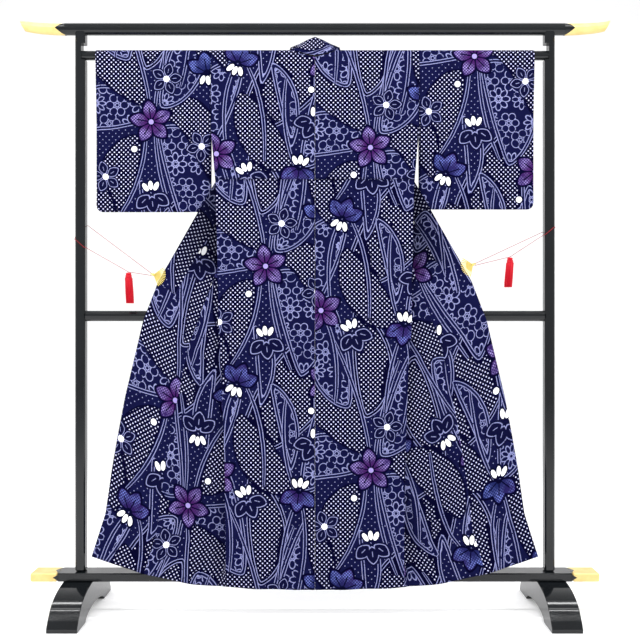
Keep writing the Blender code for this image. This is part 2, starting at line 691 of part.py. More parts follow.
def make_clip(clip, name):
    y = clip_depth(clip)
    face = y - COLLAR_WALL / 2 - CLIP_PLAY
    rear = y + COLLAR_WALL / 2 + CLIP_PLAY
    fan = fan_plate(name, clip, face - FAN_THICKNESS, face, FAN_RADIUS, FAN_RIBS)
    back = fan_plate(name + "_back", clip, rear, rear + FAN_THICKNESS, FAN_RADIUS * 0.72, 5)
    boss = box_object(name + "_pivot", (clip.x - 0.004, face - FAN_THICKNESS - 0.001, clip.z - 0.004),
                      (clip.x + 0.004, rear + FAN_THICKNESS - 0.0004, clip.z + 0.004))
    PARTS.objects.unlink(back)
    CUTTERS.objects.link(back)
    cut(fan, back, "UNION")
    cut(fan, boss, "UNION")


def cord_route(side):
    """The cord's points: from the clip up behind the post, round it, and back by the tassel's knot."""
    clip = next(c for c in CLIPS if c.side == side)
    tassel = next(t for t in TASSELS if t.side == side)
    hold = POST_HOLDS[side]
    out = CORD_RADIUS + FIT_GAP
    inner, outer = POST_X - POST_WIDTH / 2 - out, POST_X + POST_WIDTH / 2 + out
    rear, front = POST_DEPTH / 2 + out, -POST_DEPTH / 2 - out
    y = clip_depth(clip)
    eye = abs(clip.x) + 0.004 + out
    turn = 0.003
    points = [
        (eye, y + 0.003, clip.z + 0.0025),
        (inner, rear - turn, hold.rear_inner),
        (inner + turn, rear, hold.rear_inner),
        (outer - turn, rear, hold.rear_outer),
        (outer, rear - turn, hold.rear_outer),
        (outer, front + turn, hold.front_outer),
        (outer - turn, front, hold.front_outer),
        (inner + turn, front, hold.front_inner),
        (inner, front + turn / 2, hold.front_inner),
        (abs(tassel.x), y - 0.003, tassel.z + 0.003),
        (eye, y - 0.003, clip.z - 0.0025),
    ]
    return [Vector((side * x, y, z)) for x, y, z in points]


def make_cord(side, name):
    line = bpy.data.curves.new(name, "CURVE")
    line.dimensions = "3D"
    line.bevel_depth = CORD_RADIUS
    line.bevel_resolution = 2
    line.use_fill_caps = True
    route = cord_route(side)
    spline = line.splines.new("POLY")
    spline.points.add(len(route) - 1)
    for point, place in zip(spline.points, route):
        point.co = (*place, 1)
    add_object(name, line, CRIMSON)


def make_tassel(tassel, name):
    """A bound head with strands that are drawn down from its underside."""
    clip = next(c for c in CLIPS if c.side == tassel.side)
    y = clip_depth(clip) - 0.003
    top = tassel.z + 0.003 - CORD_RADIUS - 3 * FIT_GAP
    foot = top - TASSEL_HEAD_HEIGHT
    made = bmesh.new()
    profile = ((0.0020, top), (0.0052, top - 0.002), (TASSEL_HEAD_RADIUS, top - 0.006),
               (0.0052, top - 0.0105), (TASSEL_HEAD_RADIUS + 0.0008, foot))
    loops = []
    for radius, z in profile:
        loops.append([made.verts.new((tassel.x + radius * math.cos(math.tau * k / TASSEL_SECTORS),
                                      y + radius * math.sin(math.tau * k / TASSEL_SECTORS), z))
                      for k in range(TASSEL_SECTORS)])
    made.faces.new(loops[0])
    underside = []
    for ring in range(1, TASSEL_RINGS + 1):
        radius = profile[-1][0] * (1 - ring / (TASSEL_RINGS + 0.35))
        loops.append([made.verts.new((tassel.x + radius * math.cos(math.tau * k / TASSEL_SECTORS),
                                      y + radius * math.sin(math.tau * k / TASSEL_SECTORS), foot))
                      for k in range(TASSEL_SECTORS)])
    for i, (one, other) in enumerate(zip(loops, loops[1:])):
        for k in range(TASSEL_SECTORS):
            j = (k + 1) % TASSEL_SECTORS
            face = made.faces.new((one[k], one[j], other[j], other[k]))
            if i >= len(profile) - 1:
                underside.append(face)
    made.faces.new(loops[-1])
    bmesh.ops.recalc_face_normals(made, faces=made.faces)
    bmesh.ops.inset_individual(made, faces=underside, thickness=0.00022)
    half_way = Vector((tassel.lean / 2, 0, (TASSEL_HEAD_HEIGHT - tassel.length) / 2))
    for spread in TASSEL_SPREADS:
        underside = bmesh.ops.extrude_discrete_faces(made, faces=underside)["faces"]
        for face in underside:
            middle = face.calc_center_median()
            out = Vector((middle.x - tassel.x, middle.y - y, 0)) * spread
            for vertex in face.verts:
                vertex.co += out + half_way
    mesh = bpy.data.meshes.new(name)
    made.to_mesh(mesh)
    made.free()
    add_object(name, mesh, CRIMSON)


def make_robe():
    for side, end in ((-1, "left"), (1, "right")):
        make_back(side, "back_" + end)
        make_front(side, "front_" + end)
        make_overlap(side, "okumi_" + end)
        make_sleeve(side, "sleeve_" + end)
    make_collar("collar")


def make_holds():
    for clip, tassel in zip(CLIPS, TASSELS):
        end = "left" if clip.side < 0 else "right"
        make_clip(clip, "clip_" + end)
        make_cord(clip.side, "cord_" + end)
        make_tassel(tassel, "tassel_" + end)


PARTS = make_collection()
CUTTERS = bpy.data.collections.new("cutters")
bpy.context.scene.collection.children.link(CUTTERS)
make_robe()
make_stand()
make_holds()
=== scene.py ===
"""The looks of a cotton yukata robe on its black lacquered kimono stand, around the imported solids.

Metres, +Z up. The robe's back faces -Y, where the camera stands. The cloth is a thin wall in the middle
of its solid, made from the same sizes and tables. Its print is drawn on the flat bolt: each corner of the
mesh carries its distance to the leaves, and its place on the nearest flower, and the material draws from
these.
"""
import math
import random
from collections import namedtuple

import bmesh
import bpy
import numpy as np
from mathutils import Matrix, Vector


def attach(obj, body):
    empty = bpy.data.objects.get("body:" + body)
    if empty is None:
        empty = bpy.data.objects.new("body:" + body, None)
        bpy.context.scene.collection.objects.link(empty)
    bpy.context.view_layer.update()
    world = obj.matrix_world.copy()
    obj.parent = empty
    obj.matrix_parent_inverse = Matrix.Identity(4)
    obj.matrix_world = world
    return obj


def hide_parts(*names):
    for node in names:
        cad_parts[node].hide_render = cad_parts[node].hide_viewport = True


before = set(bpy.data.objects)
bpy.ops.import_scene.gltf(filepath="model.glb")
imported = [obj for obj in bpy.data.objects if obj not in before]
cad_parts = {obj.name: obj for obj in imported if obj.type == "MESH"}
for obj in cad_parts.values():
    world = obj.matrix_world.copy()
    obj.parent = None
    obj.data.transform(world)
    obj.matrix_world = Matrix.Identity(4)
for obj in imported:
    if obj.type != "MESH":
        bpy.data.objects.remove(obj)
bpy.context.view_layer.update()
ROOT = "root"

# Camera: it looks along +Y, level
CAMERA_PLACE = (0.015, -2.62, 0.872)
CAMERA_LENS = 49.05

# Sizes that the cloth shares with its solids
WALL = 0.0016
COLLAR_WALL = 0.0028
SEAM_GAP = 0.0003
FIT_GAP = 0.0003
ROD_RADIUS = 0.014
ROD_HEIGHT = 1.666
DRAPE_RADIUS = (ROD_RADIUS + FIT_GAP) / math.cos(math.radians(15)) + WALL / 2
SHOULDER_HEIGHT = ROD_HEIGHT + DRAPE_RADIUS
SHOULDER_WIDTH = 0.311
SIDE_HEM_HEIGHT = 0.088
CENTRE_HEM_SAG = 0.008
ARMHOLE_HEIGHT = 1.440
SIDE_SEAM_TOP = 1.262
HEM_DROP = SHOULDER_HEIGHT - SIDE_HEM_HEIGHT
SideSeam = namedtuple("SideSeam", "height half_width")
SIDE_SEAM = (SideSeam(SHOULDER_HEIGHT, SHOULDER_WIDTH), SideSeam(1.440, 0.310), SideSeam(1.262, 0.294),
             SideSeam(1.020, 0.288), SideSeam(0.840, 0.285), SideSeam(0.750, 0.277),
             SideSeam(0.450, 0.266), SideSeam(0.088, 0.260))
Depth = namedtuple("Depth", "height back front_edge outer")
DEPTHS = (Depth(0.080, -0.0580, -0.0561, -0.0450), Depth(0.170, -0.0560, -0.0541, -0.0435),
          Depth(0.500, -0.0500, -0.0481, -0.0340), Depth(0.884, -0.0430, -0.0411, -0.0225),
          Depth(1.262, -0.0320, -0.0301, -0.0125), Depth(1.440, -0.0240, 0.0085, 0.0165),
          Depth(ROD_HEIGHT, -DRAPE_RADIUS, DRAPE_RADIUS, DRAPE_RADIUS + 0.0092))
FRONT_WIDTH_TOP = 0.240
FRONT_WIDTH_HEM = 0.250
COLLAR_WIDTH = 0.055
OVERLAP_TOP_DROP = 0.260
OVERLAP_WIDTH_AT_COLLAR = 0.145
OVERLAP_WIDTH_HEM = 0.160
COLLAR_END_DROP = 0.820
PLEAT_RADIUS = 0.0046
PLEAT_LEAST = 0.022
SEAM_FOOT_HEIGHT = 0.320
SEAM_FOOT_EASE = 0.0004
NECK_HALF_WIDTH = 0.070
NECK_EDGE_HEIGHT = 1.690
NECK_LOW = 1.6615
OuterEdge = namedtuple("OuterEdge", "height reach")
OUTER_EDGE = (OuterEdge(0.985, 0.468), OuterEdge(0.870, 0.512), OuterEdge(0.770, 0.535),
              OuterEdge(0.640, 0.565), OuterEdge(0.530, 0.585), OuterEdge(0.430, 0.602),
              OuterEdge(0.300, 0.620), OuterEdge(0.173, 0.660))
LIFT_POWER = 1.6
Fold = namedtuple("Fold", "x_high z_high x_low z_low half_width depth")
FOLDS = (Fold(-0.205, 1.22, -0.175, 0.05, 0.034, 0.0085), Fold(-0.085, 1.05, -0.060, 0.05, 0.026, 0.0060),
         Fold(0.060, 1.18, 0.085, 0.05, 0.030, 0.0070), Fold(0.190, 1.24, 0.215, 0.05, 0.036, 0.0090),
         Fold(-0.330, 1.00, -0.370, 0.05, 0.034, 0.0085), Fold(0.335, 1.02, 0.365, 0.05, 0.034, 0.0080),
         Fold(-0.420, 0.80, -0.510, 0.08, 0.030, 0.0065), Fold(0.440, 0.86, 0.520, 0.08, 0.034, 0.0075),
         Fold(-0.010, 0.75, 0.000, 0.05, 0.022, 0.0040))
SLEEVE_REACH = 0.656
SLEEVE_BOTTOM = {-1: 1.196, 1: 1.204}
SLEEVE_CORNER = 0.020
SLEEVE_HALF_DEPTH = 0.0060
SLEEVE_EDGE_HALF_DEPTH = 0.0016
SLEEVE_HEM_RISE = 0.0045
NeckSection = namedtuple("NeckSection", "seam roll free")
NECK = (NeckSection((0.000, -0.0158, 1.6645), (0.000, -0.0150, 1.693), (0.000, -0.0060, 1.7205)),
        NeckSection((0.026, -0.0158, 1.6685), (0.022, -0.0150, 1.690), (0.022, -0.0020, 1.7130)),
        NeckSection((0.0515, -0.0136, 1.6768), (0.040, -0.0100, 1.700), (0.048, 0.0060, 1.7020)),
        NeckSection((0.0697, 0.0000, 1.6828), (0.036, 0.0060, 1.7010), (0.074, 0.0170, 1.6960)),
        NeckSection((0.0697, 0.0119, 1.6779), (0.034, 0.0160, 1.6920), (0.078, 0.0230, 1.6860)),
        NeckSection((0.0697, 0.0162, 1.6660), (0.034, 0.0220, 1.6760), (0.082, 0.0250, 1.6740)))
COLLAR_ROLL = 0.036
COLLAR_ROLL_DROP = 0.090
COLLAR_EASE = 0.0024

# Stand, clips, cords and tassels. The fans are slightly longer and narrower than their solids.
POST_X = 0.702
POST_WIDTH = 0.030
POST_DEPTH = 0.031
CORD_RADIUS = 0.0008
FAN_RADIUS = 0.037
FAN_STICKS = 13
STICK_PROFILE = ((0.0030, 0.9), (0.35, 1.0), (0.60, 0.90), (0.88, 0.76), (1.0, 0.45))
STICK_SHARE = 0.38  # half a stick's width as a share of the pitch
STICK_THICKNESS = 0.0012
STICK_DEPTH = 0.0020
STICK_STEP = 0.0005  # every second stick stands out by this
PLATE_THICKNESS = 0.0009
EYE_REACH = 0.0062
EYE_RADIUS = 0.0026
EYE_WIRE = 0.0007
CORD_STEP = 0.003  # the cord's two runs lie this far before and behind the clip's middle
CLIP_GRIP = 0.016
CLIP_PLAY = 0.0009
Clip = namedtuple("Clip", "side x z direction spread")
CLIPS = (Clip(-1, -0.481, 1.007, -16, 54), Clip(1, 0.471, 1.037, 203, 58))
Tassel = namedtuple("Tassel", "side x z length lean")
TASSELS = (Tassel(-1, -0.555, 1.012, 0.092, 0.004), Tassel(1, 0.581, 1.057, 0.089, -0.006))
PostHold = namedtuple("PostHold", "rear_inner rear_outer front_outer front_inner")
POST_HOLDS = {-1: PostHold(1.157, 1.150, 1.112, 1.089), 1: PostHold(1.137, 1.140, 1.150, 1.128)}
KNOT_RISE = 0.003
TASSEL_HEAD_HEIGHT = 0.017
TASSEL_HEAD = ((0.0016, 0.0), (0.0058, 0.0006), (0.0084, 0.0026), (0.0086, 0.0050), (0.0070, 0.0066),
               (0.0092, 0.0082), (0.0098, 0.0098), (0.0086, 0.0110), (0.0100, 0.0126), (0.0103, 0.0142),
               (0.0092, 0.0156))  # radius, and drop below its top
TASSEL_RADIUS = 0.0104
TASSEL_STRANDS = 112
STRAND_RADIUS = 0.00125
GOLDEN_ANGLE = 2.39996
JOIN_DISTANCE = 0.00001
TOP_BAR_RADIUS = 0.018
TOP_BAR_HEIGHT = 1.745
TOP_BAR_BLACK = 0.750
TOP_POINT_LENGTH = 0.028
CAP_LENGTH = 0.136
POINT_DEPTHS = (-0.0004, 0.0003)
FOOT_X = 0.7035
FOOT_WIDTH = 0.087
FOOT_HALF_LENGTH = 0.197
FOOT_ARCH_HALF = 0.107
FOOT_ARCH_RISE = 0.026
FOOT_TOP = ((0.1855, 0.0285), (0.170, 0.045), (0.159, 0.0565), (0.145, 0.066), (0.126, 0.0755),
            (0.104, 0.083), (0.080, 0.0885), (0.056, 0.092), (0.036, 0.0945))
RAIL_DEPTH = 0.068
RAIL_BLACK = 0.765
RAIL_BOTTOM = 0.0948
RAIL_TOP = 0.1203

# Fine cloth
CLOTH_THICKNESS = 0.0008
ROW_STEP = 0.009
SEAM_FLAP = 0.004  # how far a seam's edge runs on behind its neighbour
SEAM_FLAP_DEPTH = 0.0012
COLLAR_FLAP = 0.0012
COLLAR_FLAP_DEPTH = 0.0008
GROOVE_DEPTH = 0.0012
GROOVE_WIDTH = 0.0022
TUCK_HEIGHT = 1.291  # the tuck across the back, which takes up cloth at the waist
TUCK_LEDGE = 0.0013
TUCK_EDGE = 0.0010
TUCK_FADE = 0.018
TUCK_TAKEN_UP = 0.135
BODY_BOLT = {-1: 0.554, 1: 0.065}  # place along the bolt at height 0
SLEEVE_BOLT = {-1: -0.974, 1: -1.168}
COLLAR_BOLT = (0.06, 0.2)
# Painted shade: how much the fronts' colour darkens beside the back's edges, where the cloth turns in behind
# the back
SHADE_LOW = 0.08
SHADE_MORE = 0.54
SHADE_HEIGHT = 0.97
SHADE_FLAT = 0.014
SHADE_WIDTH = 0.105
OVER_ROD = 23  # points of a sleeve's line that aren't on its two sides
SIDE_NAMES = {-1: "left", 1: "right"}

# Small creases: a ridge towards -Y between two places, or a hollow where the depth is below zero
Crease = namedtuple("Crease", "x_high z_high x_low z_low half_width depth")
CREASES = (
    Crease(-0.280, 1.600, -0.130, 1.380, 0.020, 0.0031), Crease(0.275, 1.610, 0.150, 1.400, 0.022, 0.0034),
    Crease(-0.050, 1.640, -0.090, 1.330, 0.024, 0.0022), Crease(0.040, 1.630, 0.070, 1.310, 0.020, 0.0020),
    Crease(-0.300, 1.470, -0.220, 1.300, 0.014, 0.0028), Crease(0.302, 1.460, 0.240, 1.290, 0.015, 0.0027),
    Crease(-0.270, 1.260, -0.150, 1.120, 0.016, 0.0025), Crease(0.275, 1.250, 0.160, 1.060, 0.018, 0.0028),
    Crease(-0.130, 1.280, -0.140, 0.900, 0.020, 0.0031), Crease(0.130, 1.270, 0.125, 0.820, 0.018, 0.0028),
    Crease(-0.245, 0.980, -0.235, 0.300, 0.016, -0.0025), Crease(0.250, 0.900, 0.262, 0.200, 0.015, -0.0022),
    Crease(-0.120, 0.620, -0.125, 0.100, 0.018, 0.0039), Crease(0.150, 0.560, 0.150, 0.100, 0.017, 0.0034),
    Crease(0.010, 0.500, 0.035, 0.090, 0.016, 0.0031), Crease(-0.040, 0.400, -0.030, 0.090, 0.013, -0.0022),
    Crease(-0.470, 1.000, -0.310, 0.880, 0.016, 0.0042), Crease(-0.465, 0.985, -0.370, 0.760, 0.017, 0.0036),
    Crease(-0.472, 1.010, -0.330, 1.050, 0.012, 0.0031), Crease(-0.300, 0.720, -0.300, 0.280, 0.018, 0.0036),
    Crease(-0.480, 0.560, -0.560, 0.180, 0.017, 0.0039), Crease(-0.400, 0.500, -0.430, 0.140, 0.016, -0.0031),
    Crease(0.462, 1.020, 0.320, 0.920, 0.017, 0.0039), Crease(0.458, 1.005, 0.385, 0.770, 0.016, 0.0034),
    Crease(0.465, 1.040, 0.330, 1.085, 0.012, 0.0031), Crease(0.305, 0.760, 0.302, 0.250, 0.017, 0.0034),
    Crease(0.480, 0.600, 0.575, 0.190, 0.018, 0.0042), Crease(0.410, 0.520, 0.440, 0.130, 0.015, -0.0028),
    Crease(-0.330, 1.600, -0.470, 1.280, 0.026, 0.0031), Crease(-0.600, 1.640, -0.500, 1.240, 0.022, 0.0025),
    Crease(-0.360, 1.420, -0.330, 1.220, 0.014, 0.0025), Crease(-0.560, 1.420, -0.640, 1.230, 0.018, -0.0020),
    Crease(0.335, 1.610, 0.480, 1.290, 0.024, 0.0034), Crease(0.610, 1.640, 0.520, 1.250, 0.023, 0.0025),
    Crease(0.362, 1.430, 0.338, 1.225, 0.015, 0.0025), Crease(0.575, 1.400, 0.640, 1.240, 0.017, -0.0020))
CREASE_FREE_HEIGHT = 1.640  # above this the rod holds the cloth flat

# Print: places on the bolt are metres across it and along it, and it repeats along
REPEAT = 1.09
NOT_ON_LEAF = 1.0
DOTTED, KANOKO, DAISIES, STEM, KANOKO_LINED, DOTTED_LINED = 0, 1, 2, 3, 4, 5
FILLS = 6
Leaf = namedtuple("Leaf", "u_foot v_foot u_bend v_bend u_tip v_tip width fill")
LEAVES = (
    # Wide leaves, the lowest painted first
    Leaf(0.340, 0.310, 0.290, 0.130, 0.090, -0.060, 0.200, KANOKO_LINED),
    Leaf(0.090, 0.140, -0.020, 0.080, -0.010, -0.130, 0.130, DAISIES),
    Leaf(0.130, 0.450, 0.040, 0.370, 0.050, 0.170, 0.115, KANOKO),
    Leaf(0.190, 0.470, 0.330, 0.400, 0.270, 0.170, 0.150, DAISIES),
    Leaf(-0.080, 0.470, 0.020, 0.590, 0.150, 0.500, 0.135, DAISIES),
    Leaf(-0.060, 0.750, 0.060, 0.710, 0.145, 0.545, 0.140, KANOKO),
    Leaf(0.180, 0.510, 0.330, 0.590, 0.340, 0.320, 0.105, KANOKO),
    Leaf(0.195, 0.540, 0.300, 0.640, 0.290, 0.850, 0.120, DAISIES),
    Leaf(0.100, 0.680, 0.010, 0.800, 0.040, 1.010, 0.125, DAISIES),
    Leaf(0.150, 0.650, 0.210, 0.790, 0.120, 0.980, 0.120, KANOKO_LINED),
    Leaf(0.345, 0.620, 0.365, 0.780, 0.300, 0.940, 0.120, KANOKO),
    Leaf(0.270, 0.920, 0.370, 1.020, 0.330, 1.200, 0.110, DAISIES),
    Leaf(0.240, 0.920, 0.130, 0.990, 0.090, 1.150, 0.120, KANOKO),
    Leaf(0.130, 0.320, 0.190, 0.240, 0.150, 0.080, 0.060, DOTTED_LINED),
    Leaf(0.180, 0.150, 0.250, 0.060, 0.240, -0.110, 0.062, DAISIES),
    Leaf(-0.040, 0.330, 0.020, 0.270, 0.040, 0.130, 0.085, KANOKO),
    # Stems, each of two lines
    Leaf(0.164, 0.520, 0.150, 0.680, 0.055, 0.880, 0.0125, STEM),
    Leaf(0.176, 0.520, 0.185, 0.660, 0.250, 0.820, 0.0125, STEM),
    Leaf(0.150, 0.470, 0.150, 0.320, 0.060, 0.200, 0.0125, STEM),
    Leaf(0.177, 0.470, 0.180, 0.330, 0.240, 0.190, 0.0125, STEM),
    Leaf(0.270, 0.890, 0.300, 0.760, 0.255, 0.600, 0.0125, STEM),
    Leaf(0.255, 0.890, 0.215, 0.800, 0.205, 0.660, 0.0125, STEM),
    Leaf(0.250, 0.930, 0.205, 1.050, 0.225, 1.190, 0.0125, STEM),
    Leaf(0.080, 0.150, 0.020, 0.050, 0.050, -0.130, 0.0125, STEM),
    Leaf(0.104, 0.150, 0.170, 0.030, 0.160, -0.150, 0.0125, STEM),
    Leaf(0.020, 0.960, 0.080, 0.860, 0.060, 0.690, 0.0125, STEM),
    Leaf(0.320, 0.180, 0.300, 0.060, 0.335, -0.060, 0.0125, STEM))
LEAF_SAMPLES = 72
LEAF_POWER = 0.72
STEM_HALF_WIDTH = 0.0056
STEM_REACH = 0.0115
STEM_END = 0.006
LAYERS = 3
FILLED_FIVE, FILLED_FAN, OUTLINED_FIVE, OUTLINED_FAN = 1, 2, 3, 4
Motif = namedtuple("Motif", "kind u v turn")
MOTIFS = (Motif(FILLED_FIVE, 0.165, 0.495, 8), Motif(OUTLINED_FIVE, 0.212, 0.622, -14),
          Motif(OUTLINED_FAN, 0.168, 0.262, 6), Motif(FILLED_FAN, 0.088, 0.165, 158),
          Motif(FILLED_FAN, 0.262, 0.905, -8), Motif(OUTLINED_FAN, 0.118, 0.885, 24),
          Motif(OUTLINED_FIVE, 0.318, 0.420, 30), Motif(FILLED_FIVE, 0.350, 0.150, -20),
          Motif(OUTLINED_FIVE, 0.028, 0.330, 16), Motif(FILLED_FAN, 0.330, 0.660, 190),
          Motif(FILLED_FIVE, 0.018, 0.965, 14), Motif(OUTLINED_FAN, 0.300, 1.050, -30))
MOTIF_REACH = 0.088
MOTIF_DOT = Motif(5, -0.050, -0.082, 0)  # a white dot beside each filled flower
DOT_HANDICAP = 0.055
KANOKO_PITCH = 0.0137
KANOKO_RADIUS = 0.0021
SPARSE_PITCH = 0.0196
SPARSE_RADIUS = 0.0015
FINE_PITCH = 0.0088  # dots on filled petals
FINE_RADIUS = 0.00225
FILL_MARGIN = 0.0045  # how far a fill keeps from a leaf's edge
LINED_MARGIN = 0.0150
DAISY_MARGIN = 0.0125
LINE_SHAKE = 0.0014
LINE_PAIR_DEPTH = 0.0060
LINE_PAIR_HALF = 0.0041
LINE_HALF_WIDTH = 0.00118
STEM_LINE_DEPTH = 0.0013
STEM_LINE_HALF_WIDTH = 0.00115
Petal = namedtuple("Petal", "centre half_length half_width power")  # power 2 is an ellipse, below it pointed
FLOWER_PETAL = Petal(0.036, 0.0270, 0.0190, 1.5)
DROP_PETAL = Petal(0.033, 0.0135, 0.0068, 2.0)
OUTLINED_SHRINK = 1.35
FAN_FOOT = 0.020
FAN_TURN = math.radians(50)
DROP_FOOT = 0.010
DROP_TURN = math.radians(29)
FLOWER_HALO = 1.28
DROP_HALO = 1.55
DOT_RADIUS = 0.0090
DOT_HALO_RADIUS = 0.0130
MIDDLE_RADIUS = 0.0075
RIB_HALF_WIDTH = 0.0017
RIB_END = 0.043
VEIN_HALF_WIDTH = 0.0011
VEIN_MIDDLE = 0.033
VEIN_HALF_LENGTH = 0.008
DAISY_START = -0.10
DAISY_SPAN = 0.60
DAISY_STEP = 0.068
DAISY_STRAY = 0.006
DAISY_RADII = (0.030, 0.037)
DAISY_PETALS = (5, 6, 6, 8, 8, 10)
DAISY_PETAL_WIDTH = 0.56
DAISY_PETAL_CENTRE = 0.62
DAISY_PETAL_HALF = 0.35
DAISY_MIDDLE = 0.16
DAISY_LINE = 0.035


def smooth(value):
    held = min(max(value, 0.0), 1.0)
    return held * held * (3 - 2 * held)


def smooth_array(values):
    held = np.clip(values, 0.0, 1.0)
    return held * held * (3 - 2 * held)


def read_table(table, height, column):
    """The column's value at a height, in a straight line between the table's rows."""
    rows = sorted(table, key=lambda row: row.height)
    if height <= rows[0].height:
        return getattr(rows[0], column)
    for low, high in zip(rows, rows[1:]):
        if height <= high.height:
            share = (height - low.height) / (high.height - low.height)
            return getattr(low, column) * (1 - share) + getattr(high, column) * share
    return getattr(rows[-1], column)


def add_object(name, data):
    made = bpy.data.objects.new(name, data)
    bpy.context.scene.collection.objects.link(made)
    return made


def make_camera():
    data = bpy.data.cameras.new("photo_camera")
    data.lens = CAMERA_LENS
    data.sensor_width = 36.0
    data.clip_end = 50.0
    made = add_object("photo_camera", data)
    made.location = CAMERA_PLACE
    made.rotation_euler = (math.radians(90), 0.0, 0.0)
    bpy.context.scene.camera = made


def add_piece(name, data, *materials):
    """A new visible piece that rides on the robe and its stand."""
    for finish in materials:
        data.materials.append(finish)
    made = add_object(name, data)
    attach(made, ROOT)
    return made


# Cloth's form, as in its solids


def side_x(height):
    return read_table(SIDE_SEAM, height, "half_width")


def front_width(drop):
    return FRONT_WIDTH_TOP + (FRONT_WIDTH_HEM - FRONT_WIDTH_TOP) * drop / HEM_DROP


def collar_seam(drop):
    """Distance of the collar seam from the side seam. Below the collar's end it is only a line."""
    start, end = OVERLAP_TOP_DROP - 0.03, COLLAR_END_DROP
    inner = front_width(drop)
    if drop <= start:
        return inner
    share = min((drop - start) / (end - start), 1.0)
    return inner + (OVERLAP_WIDTH_AT_COLLAR - COLLAR_WIDTH) * share


def cloth_width(drop):
    """Distance across the cloth from the side seam to the front's outer edge."""
    if drop <= COLLAR_END_DROP:
        return collar_seam(drop) + COLLAR_WIDTH
    share = (drop - COLLAR_END_DROP) / (HEM_DROP - COLLAR_END_DROP)
    return front_width(drop) + OVERLAP_WIDTH_AT_COLLAR * (1 - share) + OVERLAP_WIDTH_HEM * share


def outer_place(drop):
    """Where the front's outer edge hangs: its reach from the centre and its height."""
    if drop <= COLLAR_END_DROP:
        share = drop / COLLAR_END_DROP
        end = OUTER_EDGE[0]
        return (NECK_HALF_WIDTH + (end.reach - NECK_HALF_WIDTH) * share,
                NECK_EDGE_HEIGHT + (end.height - NECK_EDGE_HEIGHT) * share)
    left = (drop - COLLAR_END_DROP) / (HEM_DROP - COLLAR_END_DROP)
    steps = [math.dist(a, b) for a, b in zip(OUTER_EDGE, OUTER_EDGE[1:])]
    left *= sum(steps)
    for step, high, low in zip(steps, OUTER_EDGE, OUTER_EDGE[1:]):
        if left <= step:
            share = left / step
            return (high.reach + (low.reach - high.reach) * share,
                    high.height + (low.height - high.height) * share)
        left -= step
    return OUTER_EDGE[-1].reach, OUTER_EDGE[-1].height


class FrontRow:
    """One level line across a front: inward behind the back, round a pleat, and out to the edge."""

    def __init__(self, drop):
        self.drop = drop
        self.z_side = SHOULDER_HEIGHT - drop
        self.x_side = side_x(self.z_side)
        self.width = cloth_width(drop)
        self.x_outer, self.z_outer = outer_place(drop)
        self.lift = self.z_outer - self.z_side
        reach = self.x_outer - self.x_side
        flat = self.width - math.pi * PLEAT_RADIUS
        deep = (flat ** 2 - reach ** 2 - self.lift ** 2) / (2 * (flat + reach))
        if deep >= PLEAT_LEAST:
            self.inward, self.turn = deep, math.pi
        else:
            spare = self.width - math.hypot(reach, self.lift)
            self.inward, self.turn = PLEAT_LEAST, self.turn_for(spare)
        self.pleat = PLEAT_RADIUS * self.turn
        clear = SEAM_GAP + WALL * math.sin(self.turn / 2)
        clear += SEAM_FOOT_EASE * smooth((SEAM_FOOT_HEIGHT - self.z_side) / 0.15)
        sewn = smooth((SIDE_SEAM_TOP + 0.001 - self.z_side) / 0.001)
        self.x_start = self.x_side + sewn * clear * math.cos(self.turn / 2)
        edge = read_table(DEPTHS, self.z_side, "front_edge")
        seam = read_table(DEPTHS, self.z_side, "back") + clear * math.sin(self.turn / 2)
        self.y_start = edge * (1 - sewn) + seam * sewn
        self.x_second, self.y_second = self.on_pleat(self.pleat)
        self.drift = read_table(DEPTHS, self.z_outer, "outer") - self.y_second

    def turn_for(self, spare):
        """How far the cloth turns where there is little of it to spare."""
        low, high = 0.0, math.pi
        for _ in range(40):
            turn = (low + high) / 2
            used = PLEAT_LEAST * (1 - math.cos(turn)) + PLEAT_RADIUS * (turn - math.sin(turn))
            low, high = (turn, high) if used < spare else (low, turn)
        return low

    def on_pleat(self, along):
        """The place after the inward stretch and part of the pleat's turn."""
        turn, radius = self.turn, PLEAT_RADIUS
        left = turn - along / radius
        x = self.x_start + self.inward * math.cos(turn) + radius * (math.sin(turn) - math.sin(left))
        y = self.y_start + self.inward * math.sin(turn) + radius * (math.cos(left) - math.cos(turn))
        return x, y

    def place(self, across):
        """The point at a distance across the cloth from the side seam, for the +X side."""
        if across <= self.inward:
            x = self.x_start + across * math.cos(self.turn)
            y = self.y_start + across * math.sin(self.turn)
            rise = 0.0
        elif across <= self.inward + self.pleat:
            x, y = self.on_pleat(across - self.inward)
            rise = 0.0
        else:
            start = self.inward + self.pleat
            share = (across - start) / (self.width - start)
            x = self.x_second + (self.x_outer - self.x_second) * share
            y = self.y_second
            rise = self.lift * max(share, 0.0) ** LIFT_POWER
        y += self.drift * across / self.width
        return x, y, self.z_side + rise


def clip_depth(clip):
    """The depth of the cloth in the middle of a clip's grip."""
    end = OUTER_EDGE[0]
    drop = COLLAR_END_DROP * (NECK_EDGE_HEIGHT - clip.z) / (NECK_EDGE_HEIGHT - end.height)
    front = FrontRow(drop)
    x, y, z = front.place(front.width - CLIP_GRIP / 2)
    return y - float(push_at(np.array([[clip.side * x, y, z]]))[0])


